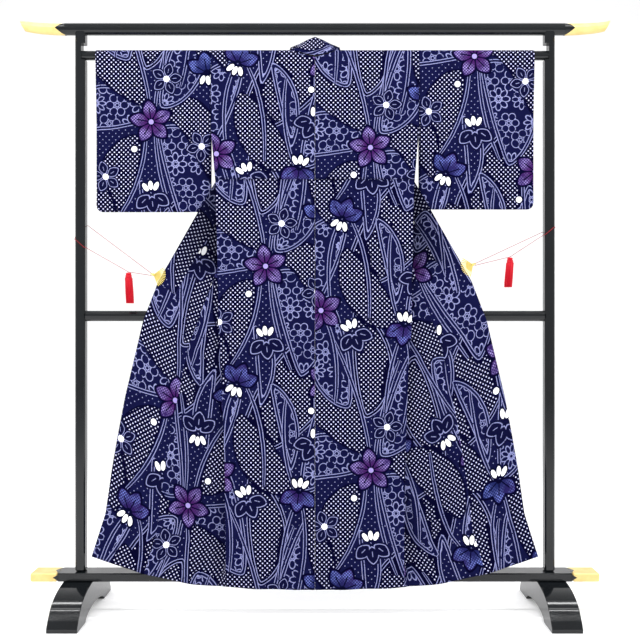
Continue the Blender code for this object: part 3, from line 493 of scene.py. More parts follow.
def push_at(places):
    """How far the folds and creases push the cloth at places towards -Y."""
    x, z = places[:, 0], places[:, 2]
    total = np.zeros(len(places))
    for fold in FOLDS:
        along = (fold.z_high - z) / (fold.z_high - fold.z_low)
        centre = fold.x_high + (fold.x_low - fold.x_high) * along
        width = fold.half_width * (0.7 + 0.6 * np.clip(along, 0, 1))
        ridge = fold.depth * smooth_array(along * 1.6) * np.exp(-((x - centre) / width) ** 2)
        total += np.where(along > 0, ridge, 0.0)
    held = smooth_array((CREASE_FREE_HEIGHT - z) / 0.08)
    for crease in CREASES:
        start = np.array([crease.x_high, crease.z_high])
        way = np.array([crease.x_low, crease.z_low]) - start
        length = np.hypot(*way)
        way /= length
        from_start = np.stack([x, z], axis=1) - start
        along = from_start @ way / length
        beside = from_start @ np.array([-way[1], way[0]])
        ends = smooth_array((along + 0.12) / 0.35) * smooth_array((1.12 - along) / 0.40)
        width = crease.half_width * (0.75 + 0.5 * np.clip(along, 0, 1))
        total += held * crease.depth * ends * np.exp(-(beside / width) ** 2)
    return total


# Print on the flat bolt


def wrapped(difference):
    """A difference along the bolt, to the nearest repeat."""
    return (difference + REPEAT / 2) % REPEAT - REPEAT / 2


def leaf_distances(places):
    """For each leaf the signed distance of each place from its edge, below zero inside it.

    A stem gives the signed offset from its middle line instead, which stays exact on a coarse mesh.
    """
    share = np.linspace(0, 1, LEAF_SAMPLES)[:, None]
    found = np.empty((len(LEAVES), len(places)), np.float32)
    for k, leaf in enumerate(LEAVES):
        foot, bend, tip = (np.array(p) for p in ((leaf.u_foot, leaf.v_foot), (leaf.u_bend, leaf.v_bend),
                                                 (leaf.u_tip, leaf.v_tip)))
        axis = foot * (1 - share) ** 2 + bend * 2 * share * (1 - share) + tip * share ** 2
        middle = axis.mean(0)
        at = places - middle
        at[:, 1] = wrapped(at[:, 1])
        at = at.astype(np.float32)
        axis = (axis - middle).astype(np.float32)
        half = leaf.width / 2 * np.sin(np.pi * share[:, 0]) ** LEAF_POWER
        nearest = np.full(len(places), 9.0, np.float32)
        if leaf.fill != STEM:
            for point, reach in zip(axis, half):
                away = np.hypot(at[:, 0] - point[0], at[:, 1] - point[1])
                np.minimum(nearest, away - reach, out=nearest)
            found[k] = nearest
            continue
        index = np.zeros(len(places), int)
        for i, point in enumerate(axis):
            away = np.hypot(at[:, 0] - point[0], at[:, 1] - point[1])
            index[away < nearest] = i
            np.minimum(nearest, away, out=nearest)
        along = np.gradient(axis, axis=0)
        along /= np.hypot(along[:, 0], along[:, 1])[:, None]
        from_point = at - axis[index]
        way = along[index]
        beside = from_point[:, 1] * way[:, 0] - from_point[:, 0] * way[:, 1]
        past = np.abs((from_point * way).sum(1)) > STEM_END
        taper = 0.55 + 0.45 * np.sin(np.pi * share[index, 0]) ** 0.5
        found[k] = np.where(past, NOT_ON_LEAF, beside / taper)
    return found


def leaf_layers(distances, faces):
    """For each corner its distance to the top leaves on its face, and a code of these leaves' fills."""
    corners = distances[:, faces]
    fills = np.array([leaf.fill for leaf in LEAVES])
    touched = np.where(fills[:, None] == STEM, np.abs(corners).min(2) < STEM_REACH, corners.min(2) < 0.0)
    order = np.arange(len(LEAVES))[:, None]
    picked = []
    left = touched
    for _ in range(LAYERS + 1):
        top = np.where(left, order, -1).max(0)
        picked.append(top)
        left = left & (order < top)
    face_index = np.arange(len(faces))[:, None]
    layers = []
    for top in picked[:LAYERS]:
        value = corners[np.maximum(top, 0)[:, None], face_index, np.arange(faces.shape[1])]
        layers.append(np.where(top[:, None] >= 0, value, NOT_ON_LEAF))
    fill = [np.where(top >= 0, fills[np.maximum(top, 0)], DOTTED) for top in picked]
    code = sum(one * FILLS ** k for k, one in enumerate(fill))
    code = np.repeat(code[:, None], faces.shape[1], 1) + 0.25
    return np.stack(layers, axis=2), np.stack([code, code, code], axis=2)


def motif_table():
    """All motifs with their dots: place, turn and kind."""
    rows = []
    for motif in MOTIFS:
        rows.append((motif.u, motif.v, math.radians(motif.turn), motif.kind))
        if motif.kind == FILLED_FIVE:
            rows.append((motif.u + MOTIF_DOT.u, motif.v + MOTIF_DOT.v, 0.0, MOTIF_DOT.kind))
    return np.array(rows)


def seen_from(places, faces, held):
    """Corner places as seen from a row's place for each face, in the repeat that is nearest to the face."""
    at = places[faces] - held[:, None, :2]
    away = places[faces].mean(1)[:, 1] - held[:, 1]
    at[:, :, 1] += (wrapped(away) - away)[:, None]
    return at


def nearest_local(places, faces, table, reach):
    """Corner places seen from the nearest row of a table, turned with it, and that row's kind."""
    centres = places[faces].mean(1)
    best = np.full(len(faces), reach, float)
    index = np.full(len(faces), -1)
    for k, row in enumerate(table):
        away = np.hypot(centres[:, 0] - row[0], wrapped(centres[:, 1] - row[1]))
        if row[3] == MOTIF_DOT.kind:
            away = away + DOT_HANDICAP  # its flower comes first
        closer = away < best
        best[closer] = away[closer]
        index[closer] = k
    held = table[np.maximum(index, 0)]
    at = seen_from(places, faces, held)
    cos, sin = np.cos(held[:, 2])[:, None], np.sin(held[:, 2])[:, None]
    x = at[:, :, 0] * cos + at[:, :, 1] * sin
    y = -at[:, :, 0] * sin + at[:, :, 1] * cos
    kind = np.where(index >= 0, held[:, 3], 0)[:, None] + np.zeros_like(x)
    return np.stack([x, y, kind], axis=2)


def daisy_table():
    """Small flowers scattered on the bolt: place, radius and number of petals."""
    draw = random.Random(11)
    rows = []
    across = int(DAISY_SPAN / DAISY_STEP)
    along = round(REPEAT / (DAISY_STEP * 0.88))
    for j in range(along):
        for i in range(across):
            u = DAISY_START + (i + 0.5 * (j % 2)) * DAISY_STEP + draw.uniform(-DAISY_STRAY, DAISY_STRAY)
            v = j * REPEAT / along + draw.uniform(-DAISY_STRAY, DAISY_STRAY)
            rows.append((u, v, draw.uniform(*DAISY_RADII), draw.choice(DAISY_PETALS)))
    return np.array(rows)


def daisy_local(places, faces, table):
    """Corner places seen from the nearest small flower, in its radii, and its number of petals."""
    centres = places[faces].mean(1)
    across = centres[:, None, 0] - table[None, :, 0]
    away = np.hypot(across, wrapped(centres[:, None, 1] - table[None, :, 1]))
    index = (away / table[None, :, 2]).argmin(1)
    held = table[index]
    at = seen_from(places, faces, held) / held[:, 2][:, None, None]
    petals = held[:, 3][:, None] + np.zeros(faces.shape)
    return np.stack([at[:, :, 0], at[:, :, 1], petals], axis=2)


DAISY_TABLE = daisy_table()
MOTIF_TABLE = motif_table()


def add_vectors(mesh, name, values):
    layer = mesh.attributes.new(name, "FLOAT_VECTOR", "CORNER")
    layer.data.foreach_set("vector", np.ascontiguousarray(values, np.float32).ravel())


def add_print(mesh, places, faces, shade, motif_reach):
    """The bolt's places as a UV map, and what the print needs at each corner."""
    bolt = mesh.uv_layers.new(name="Bolt")
    bolt.data.foreach_set("uv", places[faces].astype(np.float32).ravel())
    layers, code = leaf_layers(leaf_distances(places), faces)
    add_vectors(mesh, "leaf", layers)
    # The fill attribute's second part carries the painted shade of each corner
    code[:, :, 1] = shade[faces]
    add_vectors(mesh, "fill", code)
    add_vectors(mesh, "motif", nearest_local(places, faces, MOTIF_TABLE, motif_reach))
    add_vectors(mesh, "daisy", daisy_local(places, faces, DAISY_TABLE))


def cloth_piece(name, rows, bolt_rows, flip, thickness=CLOTH_THICKNESS, loop=False, left_out=None,
                shade=None, motif_reach=MOTIF_REACH):
    """A thin wall through rows of points, each with a place on the bolt."""
    across = len(rows[0])
    shade = np.zeros(len(rows) * across) if shade is None else np.array(shade).ravel()
    points = np.array([tuple(point) for row in rows for point in row], float)
    bolt = np.array([place for row in bolt_rows for place in row], float)
    points[:, 1] -= push_at(points)
    faces = []
    for i in range(len(rows) - 1):
        for j in range(across - 1):
            if left_out and left_out(i, j):
                continue
            quad = (i * across + j, i * across + j + 1, (i + 1) * across + j + 1, (i + 1) * across + j)
            faces.append(quad[::-1] if flip else quad)
    faces = np.array(faces)
    used = np.unique(faces)
    renumber = np.zeros(len(points), int)
    renumber[used] = np.arange(len(used))
    points, bolt, shade, faces = points[used], bolt[used], shade[used], renumber[faces]
    mesh = bpy.data.meshes.new(name)
    mesh.from_pydata(points.tolist(), [], faces.tolist())
    mesh.update()
    add_print(mesh, bolt, faces, shade, motif_reach)
    if loop:
        ring = bmesh.new()
        ring.from_mesh(mesh)
        bmesh.ops.remove_doubles(ring, verts=ring.verts, dist=0.00002)
        ring.to_mesh(mesh)
        ring.free()
    mesh.shade_smooth()
    piece = add_piece(name, mesh, COTTON, COTTON_BACK)
    thick = piece.modifiers.new("Cloth thickness", "SOLIDIFY")
    thick.thickness = thickness
    thick.offset = 0.0
    thick.use_quality_normals = True
    thick.use_rim = True
    thick.material_offset = 1
    return piece


def steps(start, end, step):
    """Evenly spaced values from start to end, both included."""
    count = max(1, math.ceil(abs(end - start) / step))
    return [start + (end - start) * i / count for i in range(count + 1)]


def lengths_along(points, start):
    """The length of a line at each of its points, counted on from a start."""
    along = [start]
    for one, other in zip(points, points[1:]):
        along.append(along[-1] + math.dist(one, other))
    return along


BEFORE, PLEAT, AFTER = 16, 10, 16
COLUMNS = BEFORE + PLEAT + AFTER
LEAST_AFTER = 0.012


def body_columns(row, inner):
    """Distances across the front at which the cloth has its points."""
    pleat = max(row.pleat, PLEAT_RADIUS)
    start = min(row.inward, inner - LEAST_AFTER - pleat)
    before = [start * i / BEFORE for i in range(BEFORE)]
    within = [start + pleat * i / PLEAT for i in range(PLEAT)]
    after = [start + pleat + (inner - start - pleat) * i / AFTER for i in range(AFTER + 1)]
    level = [inner * i / COLUMNS for i in range(COLUMNS + 1)]
    share = smooth(row.drop / 0.045)
    return [flat * (1 - share) + shaped * share for flat, shaped in zip(level, before + within + after)]


def neck_x(height):
    """Inner edge of the back: the centre seam, then the shallow curve of the neck."""
    share = (height - NECK_LOW) / (SHOULDER_HEIGHT - NECK_LOW)
    return SEAM_GAP / 2 if share <= 0 else NECK_HALF_WIDTH * math.sqrt(min(share, 1.0)) + SEAM_GAP / 2


def seam_groove(beside, height):
    """How far a seam draws the cloth in, at a distance beside it."""
    return GROOVE_DEPTH * math.exp(-(beside / GROOVE_WIDTH) ** 2) * smooth((1.655 - height) / 0.02)


def back_row(side, height, y_extra=0.0):
    """One level line across a back, from the side seam to the centre seam."""
    outer, inner = side_x(height), neck_x(height)
    sag = CENTRE_HEM_SAG * smooth((0.6 - height) / 0.5)
    row = []
    for j in range(COLUMNS + 1):
        x = outer + (inner - outer) * j / COLUMNS
        z = height - sag * (1 - (x / outer) ** 2)
        y = read_table(DEPTHS, height, "back") + y_extra + seam_groove(x - inner, height)
        row.append((side * x, y, z))
    return row


def bolt_u(side, x):
    """Place across the bolt of a place across the back: both lengths run the same way."""
    return x if side > 0 else SHOULDER_WIDTH - x


def painted_front_shade(beside, height):
    """Painted shade in the fold where a front comes out from behind the back, most of it above the clips."""
    held = SHADE_LOW + SHADE_MORE * smooth((height - SHADE_HEIGHT) / 0.10)
    return held * math.exp(-(max(beside - SHADE_FLAT, 0.0) / SHADE_WIDTH) ** 2)


def make_body(side):
    """One length of cloth, from the back hem over the shoulder to the front hem."""
    rows, bolt, shade = [], [], []
    sewn_rows = 0
    v_start = BODY_BOLT[side]
    low = steps(SIDE_HEM_HEIGHT, TUCK_HEIGHT, ROW_STEP)
    high = steps(TUCK_HEIGHT - TUCK_EDGE, ROD_HEIGHT, ROW_STEP)
    for height in low:
        rows.append(back_row(side, height))
        bolt.append([(bolt_u(side, abs(x)), z + v_start) for x, y, z in rows[-1]])
        if height < SIDE_SEAM_TOP:
            sewn_rows += 1
    for height in high:
        ledge = -TUCK_LEDGE * (1 - smooth((height - TUCK_HEIGHT) / TUCK_FADE))
        rows.append(back_row(side, height, ledge))
        bolt.append([(bolt_u(side, abs(x)), z + v_start + TUCK_TAKEN_UP) for x, y, z in rows[-1]])
    along = ROD_HEIGHT + v_start + TUCK_TAKEN_UP
    for degrees in steps(-90, 90, 9)[1:-1]:
        angle = math.radians(degrees)
        z = ROD_HEIGHT + DRAPE_RADIUS * math.cos(angle)
        inner = neck_x(z) if degrees < 0 else SHOULDER_WIDTH - FRONT_WIDTH_TOP
        xs = [SHOULDER_WIDTH + (inner - SHOULDER_WIDTH) * j / COLUMNS for j in range(COLUMNS + 1)]
        rows.append([(side * x, DRAPE_RADIUS * math.sin(angle), z) for x in xs])
        v = along + DRAPE_RADIUS * (angle + math.pi / 2)
        bolt.append([(bolt_u(side, x), v) for x in xs])
    along += math.pi * DRAPE_RADIUS
    for height in steps(ROD_HEIGHT, SIDE_HEM_HEIGHT, ROW_STEP):
        front = FrontRow(SHOULDER_HEIGHT - height)
        columns = body_columns(front, front_width(front.drop))
        places = [front.place(across) for across in columns]
        rows.append([(side * x, y, z) for x, y, z in places])
        bolt.append([(bolt_u(side, SHOULDER_WIDTH - across), along + ROD_HEIGHT - height)
                     for across in columns])
        shade.append([painted_front_shade(x - front.x_side, z) for x, y, z in places])
    shade = [[0.0] * (COLUMNS + 1)] * (len(rows) - len(shade)) + shade
    for i, row in enumerate(rows):
        # The first column closes the side seam, from the back's edge to where the front starts
        x, y, z = FrontRow(SHOULDER_HEIGHT - row[0][2]).place(0.0) if i < sewn_rows else row[0]
        row.insert(0, (side * abs(x), y, z))
        bolt[i].insert(0, bolt[i][0])
    shade = [[0.0] + row for row in shade]
    end = SIDE_NAMES[side]
    piece = cloth_piece("body_cloth_" + end, rows, bolt, side > 0, shade=shade,
                        left_out=lambda i, j: j == 0 and i >= sewn_rows - 1)
    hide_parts("back_" + end, "front_" + end)
    return piece


def flap_place(front, start):
    """A place on the seam's edge that runs on behind its neighbour, and closes the gap between them."""
    x, y, z = front.place(start - SEAM_FLAP)
    return x, y + SEAM_FLAP_DEPTH, z


def make_overlap(side):
    """The overlap sewn on a front's inner edge, which hangs outermost."""
    drops = steps(OVERLAP_TOP_DROP, COLLAR_END_DROP, ROW_STEP)
    first_full = len(drops) - 1
    drops += steps(COLLAR_END_DROP, HEM_DROP, ROW_STEP)[1:]
    inner_parts, outer_parts = 14, 8
    rows, bolt, shade = [], [], []
    for drop in drops:
        front = FrontRow(drop)
        start, seam = front_width(drop) + SEAM_GAP, collar_seam(drop) - SEAM_GAP
        row = [start + (seam - start) * j / inner_parts for j in range(inner_parts + 1)]
        row += [seam + (cloth_width(drop) - seam) * j / outer_parts for j in range(1, outer_parts + 1)]
        places = [front.place(across) for across in row]
        places.insert(0, flap_place(front, start))
        rows.append([(side * x, y, z) for x, y, z in places])
        row.insert(0, start - SEAM_FLAP)
        bolt.append([(0.17 + side * (across - start), 0.30 - side * 0.2 - drop) for across in row])
        shade.append([painted_front_shade(x - front.x_side, z) for x, y, z in places])
    end = SIDE_NAMES[side]
    piece = cloth_piece("okumi_cloth_" + end, rows, bolt, side > 0, shade=shade,
                        left_out=lambda i, j: j > inner_parts and i < first_full)
    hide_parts("okumi_" + end)


def sleeve_depths(x, half, height):
    """How deep the back and the front of a sleeve lie at a place."""
    beside = x - SHOULDER_WIDTH - SEAM_GAP
    fall = smooth((ROD_HEIGHT - height) / 0.22)
    own = DRAPE_RADIUS + (half - DRAPE_RADIUS) * fall
    held = (1 - smooth(beside / 0.12)) * smooth((height - 1.30) / 0.14)
    back = read_table(DEPTHS, height, "back")
    front = read_table(DEPTHS, max(height, ARMHOLE_HEIGHT), "front_edge")
    groove = seam_groove(beside, height)
    return -own + (back + own) * held + groove, own + (front - own) * held - groove


def make_sleeve(side):
    """One length of cloth folded over the rod, closed along its foot."""
    inner = SHOULDER_WIDTH + SEAM_GAP
    shares = steps(0.0, 0.86, 0.026) + steps(0.86, 0.975, 0.0165)[1:] + [0.984, 0.991, 0.9965, 1.0]
    rows, bolt = [], []
    for share in shares:
        x = inner + (SLEEVE_REACH - inner) * share
        past = max(x - (SLEEVE_REACH - SLEEVE_CORNER), 0.0)
        low = SLEEVE_BOTTOM[side] + SLEEVE_CORNER - math.sqrt(max(SLEEVE_CORNER ** 2 - past ** 2, 0.0))
        at_edge = smooth((x - SLEEVE_REACH + 0.045) / 0.045)
        half = SLEEVE_HALF_DEPTH + (SLEEVE_EDGE_HALF_DEPTH - SLEEVE_HALF_DEPTH) * at_edge
        heights = steps(ROD_HEIGHT, low + 0.030, ROW_STEP)[1:]
        heights += steps(low + 0.030, low + SLEEVE_HEM_RISE, 0.006)[1:]
        count = (len(rows[0]) - OVER_ROD) // 2 if rows else len(heights)
        heights = np.interp(np.linspace(0, 1, count), np.linspace(0, 1, len(heights)), heights)
        back = [(sleeve_depths(x, half, h)[0], h) for h in heights[::-1]]
        front = [(sleeve_depths(x, half, h)[1], h) for h in heights]
        over = [(DRAPE_RADIUS * math.sin(a), ROD_HEIGHT + DRAPE_RADIUS * math.cos(a))
                for a in map(math.radians, steps(-90, 90, 10))]
        rise = low + 0.0012
        profile = [(0.0, low), (-half * 0.55, rise)] + back + over + front + [(half * 0.55, rise), (0.0, low)]
        ring = [(side * x, y, z) for y, z in profile]
        rows.append(ring)
        u = x - inner if side > 0 else SLEEVE_REACH - x
        bolt.append([(u, v) for v in lengths_along(ring, low + SLEEVE_BOLT[side])])
    end = SIDE_NAMES[side]
    piece = cloth_piece("sleeve_cloth_" + end, rows, bolt, side > 0, loop=True)
    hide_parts("sleeve_" + end)


def curve_point(section, share):
    """A place on the collar's section, a quadratic curve from its seam to its free edge."""
    return tuple(a * (1 - share) ** 2 + b * 2 * share * (1 - share) + c * share ** 2
                 for a, b, c in zip(*section))


def rolled_section(front):
    """The collar's section between the shoulder and the place where the front's pleat takes it in."""
    x, y, z = front.place(front_width(front.drop))
    roll = COLLAR_ROLL * (1 - front.drop / 0.1)
    outer = (front.x_outer, read_table(DEPTHS, front.z_outer, "outer"), front.z_outer)
    return NeckSection((x - 0.001, y + 0.0006, z), (x - roll, y + 0.0065, z + front.lift / 2), outer)


def between(section, other, share):
    return NeckSection(*[tuple(p * (1 - share) + q * share for p, q in zip(a, b))
                         for a, b in zip(section, other)])


def make_collar():
    shares = steps(0.0, 1.0, 0.09)
    neck = []
    for one, other in zip(NECK, NECK[1:]):
        neck += [between(one, other, k / 4) for k in range(4)]
    neck.append(NECK[-1])
    last = COLLAR_END_DROP - 1.3 * SEAM_GAP
    drops = steps(SHOULDER_HEIGHT - ROD_HEIGHT + 0.010, COLLAR_ROLL_DROP - 0.002, 0.006)
    drops += steps(COLLAR_ROLL_DROP + 0.003, last, 0.0085)
    rows = []
    for section in neck:
        row = [curve_point(section, share) for share in shares]
        x, y, z = row[0]
        rows.append([(x, y + COLLAR_FLAP_DEPTH, z - COLLAR_FLAP)] + row)
    shade = [[0.0] * (len(shares) + 1)] * len(rows)
    for drop in drops:
        front = FrontRow(drop)
        if drop < COLLAR_ROLL_DROP:
            row = [curve_point(rolled_section(front), share) for share in shares]
            x, y, z = row[0]
            row.insert(0, (x - COLLAR_FLAP, y + COLLAR_FLAP_DEPTH, z))
        else:
            in_pleat = smooth((0.19 - drop) / 0.05)
            start = collar_seam(drop) + SEAM_GAP + COLLAR_EASE * in_pleat
            row = [front.place(start + (front.width - start) * share) for share in shares]
            row.insert(0, flap_place(front, start))
        rows.append(row)
        shade = shade + [[painted_front_shade(x - front.x_side, z) for x, y, z in row]]
    rows.append([(x - COLLAR_FLAP, y + 1.4 * SEAM_FLAP_DEPTH, z - SEAM_FLAP) for x, y, z in rows[-1]])
    shade.append(shade[-1])
    left = [[(-x, y, z) for x, y, z in row] for row in rows]
    rows = list(reversed(left[1:])) + rows
    shade = list(reversed(shade[1:])) + shade
    along = lengths_along([row[0] for row in rows], COLLAR_BOLT[1])
    bolt = [[(COLLAR_BOLT[0] + COLLAR_WIDTH * share, v) for share in [-0.07] + shares] for v in along]
    piece = cloth_piece("collar_cloth", rows, bolt, True, thickness=0.0016, shade=shade, motif_reach=0.0)
    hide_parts("collar")


# Materials


class Nodes:
    """Short names for the nodes of one material."""

    def __init__(self, name):
        self.material = bpy.data.materials.new(name)
        self.material.use_nodes = True
        self.tree = self.material.node_tree
        self.shader = self.tree.nodes["Principled BSDF"]

    def add(self, kind, *values, output=0, **settings):
        node = self.tree.nodes.new("ShaderNode" + kind)
        for key, value in settings.items():
            setattr(node, key, value)
        for socket, value in zip(node.inputs, values):
            self.feed(socket, value)
        return node.outputs[output]

    def feed(self, socket, value):
        if isinstance(value, bpy.types.NodeSocket):
            self.tree.links.new(value, socket)
        elif value is not None:
            socket.default_value = value

    def math(self, operation, *values, clamp=False):
        return self.add("Math", *values, operation=operation, use_clamp=clamp)

    def times(self, *values):
        """The product of two or more numbers, which is also the overlap of masks."""
        total = values[0]
        for value in values[1:]:
            total = self.math("MULTIPLY", total, value)
        return total

    def either(self, *values):
        """The largest of two or more numbers, which is also the union of masks."""
        total = values[0]
        for value in values[1:]:
            total = self.math("MAXIMUM", total, value)
        return total

    def below(self, value, limit):
        return self.math("LESS_THAN", value, limit)

    def above(self, value, limit):
        return self.math("GREATER_THAN", value, limit)

    def near(self, value, target, margin=0.1):
        return self.math("COMPARE", value, target, margin)

    def less(self, value, other):
        return self.math("SUBTRACT", value, other)

    def size(self, value):
        return self.math("ABSOLUTE", value)

    def length(self, x, y):
        return self.math("SQRT", self.math("ADD", self.times(x, x), self.times(y, y)))

    def ramp(self, value, slope, start):
        """A straight line of a value, held between 0 and 1."""
        return self.math("MULTIPLY_ADD", value, slope, start, clamp=True)

    def place(self):
        """A point's place in its own object."""
        return self.tree.nodes.new("ShaderNodeTexCoord").outputs["Object"]

    def scaled(self, vector, *factors):
        return self.add("VectorMath", vector, factors, operation="MULTIPLY")

    def mix(self, share, one, other):
        """A number between two numbers."""
        return self.math("MULTIPLY_ADD", self.math("SUBTRACT", other, one), share, one)

    def blend(self, share, one, other):
        """A colour between two colours."""
        node = self.tree.nodes.new("ShaderNodeMix")
        node.data_type = "RGBA"
        self.feed(node.inputs["Factor"], share)
        self.feed(node.inputs["A"], one)
        self.feed(node.inputs["B"], other)
        return node.outputs["Result"]

    def attribute(self, name):
        split = self.tree.nodes.new("ShaderNodeSeparateXYZ")
        source = self.tree.nodes.new("ShaderNodeAttribute")
        source.attribute_name = name
        self.tree.links.new(source.outputs["Vector"], split.inputs[0])
        return split.outputs

    def noise(self, place, scale, detail=2.0):
        node = self.tree.nodes.new("ShaderNodeTexNoise")
        self.feed(node.inputs["Vector"], place)
        node.inputs["Scale"].default_value = scale
        node.inputs["Detail"].default_value = detail
        return node.outputs["Fac"]

    def bump(self, height, distance, strength=1.0, normal=None):
        node = self.tree.nodes.new("ShaderNodeBump")
        node.inputs["Strength"].default_value = strength
        node.inputs["Distance"].default_value = distance
        self.feed(node.inputs["Height"], height)
        if normal:
            self.feed(node.inputs["Normal"], normal)
        return node.outputs["Normal"]

    def set(self, **values):
        for key, value in values.items():
            self.feed(self.shader.inputs[key.replace("_", " ")], value)
        return self.material


def hex_colour(code):
    """A linear colour from its usual hexadecimal code."""
    parts = [int(code[i:i + 2], 16) / 255 for i in (0, 2, 4)]
    return tuple(p / 12.92 if p <= 0.04045 else ((p + 0.055) / 1.055) ** 2.4 for p in parts) + (1.0,)


def leaf_lines(n, distance, fill, is_stem):
    """The lines inside a leaf's edge: two round it, or one along each side of a stem."""
    double = n.near(n.size(n.math("ADD", distance, LINE_PAIR_DEPTH)), LINE_PAIR_HALF, LINE_HALF_WIDTH)
    single = n.near(distance, -STEM_LINE_DEPTH, STEM_LINE_HALF_WIDTH)
    lined = n.times(n.above(fill, DAISIES - 0.5), n.less(1.0, is_stem))
    return n.either(n.times(double, lined), n.times(single, is_stem))


def lattice(n, uv, pitch, radius):
    """Round dots on a lattice turned by 45 degrees."""
    step = pitch / math.sqrt(2)
    turned = n.add("VectorRotate", uv, None, None, math.radians(45), rotation_type="Z_AXIS")
    cell = n.scaled(turned, 1 / step, 1 / step, 0)
    cell = n.add("VectorMath", cell, operation="FRACTION")
    cell = n.add("VectorMath", cell, (0.5, 0.5, 0), operation="SUBTRACT")
    away = n.add("VectorMath", cell, operation="LENGTH", output=1)
    return n.below(away, radius / step)


def petal_shape(n, parts, petal):
    """How far out of a petal a place is: 1 on its edge."""
    along, across = parts
    a = n.size(n.times(n.less(along, petal.centre), 1 / petal.half_length))
    b = n.size(n.times(across, 1 / petal.half_width))
    total = n.math("ADD", n.math("POWER", a, petal.power), n.math("POWER", b, petal.power))
    return n.math("POWER", total, 1 / petal.power)


def along_and_across(n, reach, turned):
    return n.times(reach, n.math("COSINE", turned)), n.times(reach, n.math("SINE", turned))


def folded(n, angle, reach, period):
    """A polar place folded into one petal of a ring: along it and across it."""
    turned = n.math("WRAP", angle, n.times(period, 0.5), n.times(period, -0.5))
    return along_and_across(n, reach, turned)


def fanned(n, x, y, period):
    """A place folded into the nearest of three petals that spread from one foot: along it and across it."""
    angle = n.math("ARCTAN2", x, y)
    held = n.either(n.math("MINIMUM", angle, period), -period)
    whole = n.math("ROUND", n.math("DIVIDE", held, period))
    return along_and_across(n, n.length(x, y), n.less(angle, n.times(whole, period)))


def draw_leaves(n, uv):
    """The fill at a place, its distance from the nearest edge of a leaf, and the leaves' lines."""
    shake = n.times(n.less(n.noise(uv, 45.0, 0.0), 0.5), LINE_SHAKE)
    layers = n.attribute("leaf")
    code = n.math("FLOOR", n.attribute("fill")[0])
    fill = n.math("FLOOR", n.math("DIVIDE", code, float(FILLS ** LAYERS)))
    depth, line = 1.0, 0.0
    for k in reversed(range(LAYERS)):
        shifted = n.math("FLOOR", n.math("DIVIDE", code, float(FILLS ** k)))
        own = n.math("MODULO", shifted, float(FILLS))
        is_stem = n.near(own, STEM)
        distance = n.math("ADD", layers[k], shake)
        distance = n.mix(is_stem, distance, n.less(n.size(distance), STEM_HALF_WIDTH))
        inside = n.below(distance, 0.0)
        away = n.size(distance)
        depth = n.mix(inside, n.math("MINIMUM", depth, away), away)
        fill = n.mix(inside, fill, own)
        line = n.mix(inside, line, leaf_lines(n, distance, own, is_stem))
    return fill, depth, line


def draw_daisies(n):
    """The outlines of a small flower's petals and of its middle. Sizes are shares of its radius."""
    x, y, petals = n.attribute("daisy")
    reach = n.length(x, y)
    period = n.math("DIVIDE", math.tau, petals)
    along, across = folded(n, n.math("ARCTAN2", y, x), reach, period)
    wide = n.times(n.math("TANGENT", n.times(period, 0.5)), DAISY_PETAL_WIDTH)
    along = n.times(n.less(along, DAISY_PETAL_CENTRE), 1 / DAISY_PETAL_HALF)
    edge = n.length(along, n.math("DIVIDE", across, wide))
    outline = n.near(edge, 1.0, n.math("DIVIDE", DAISY_LINE, wide))
    return n.either(outline, n.near(reach, DAISY_MIDDLE, DAISY_LINE))


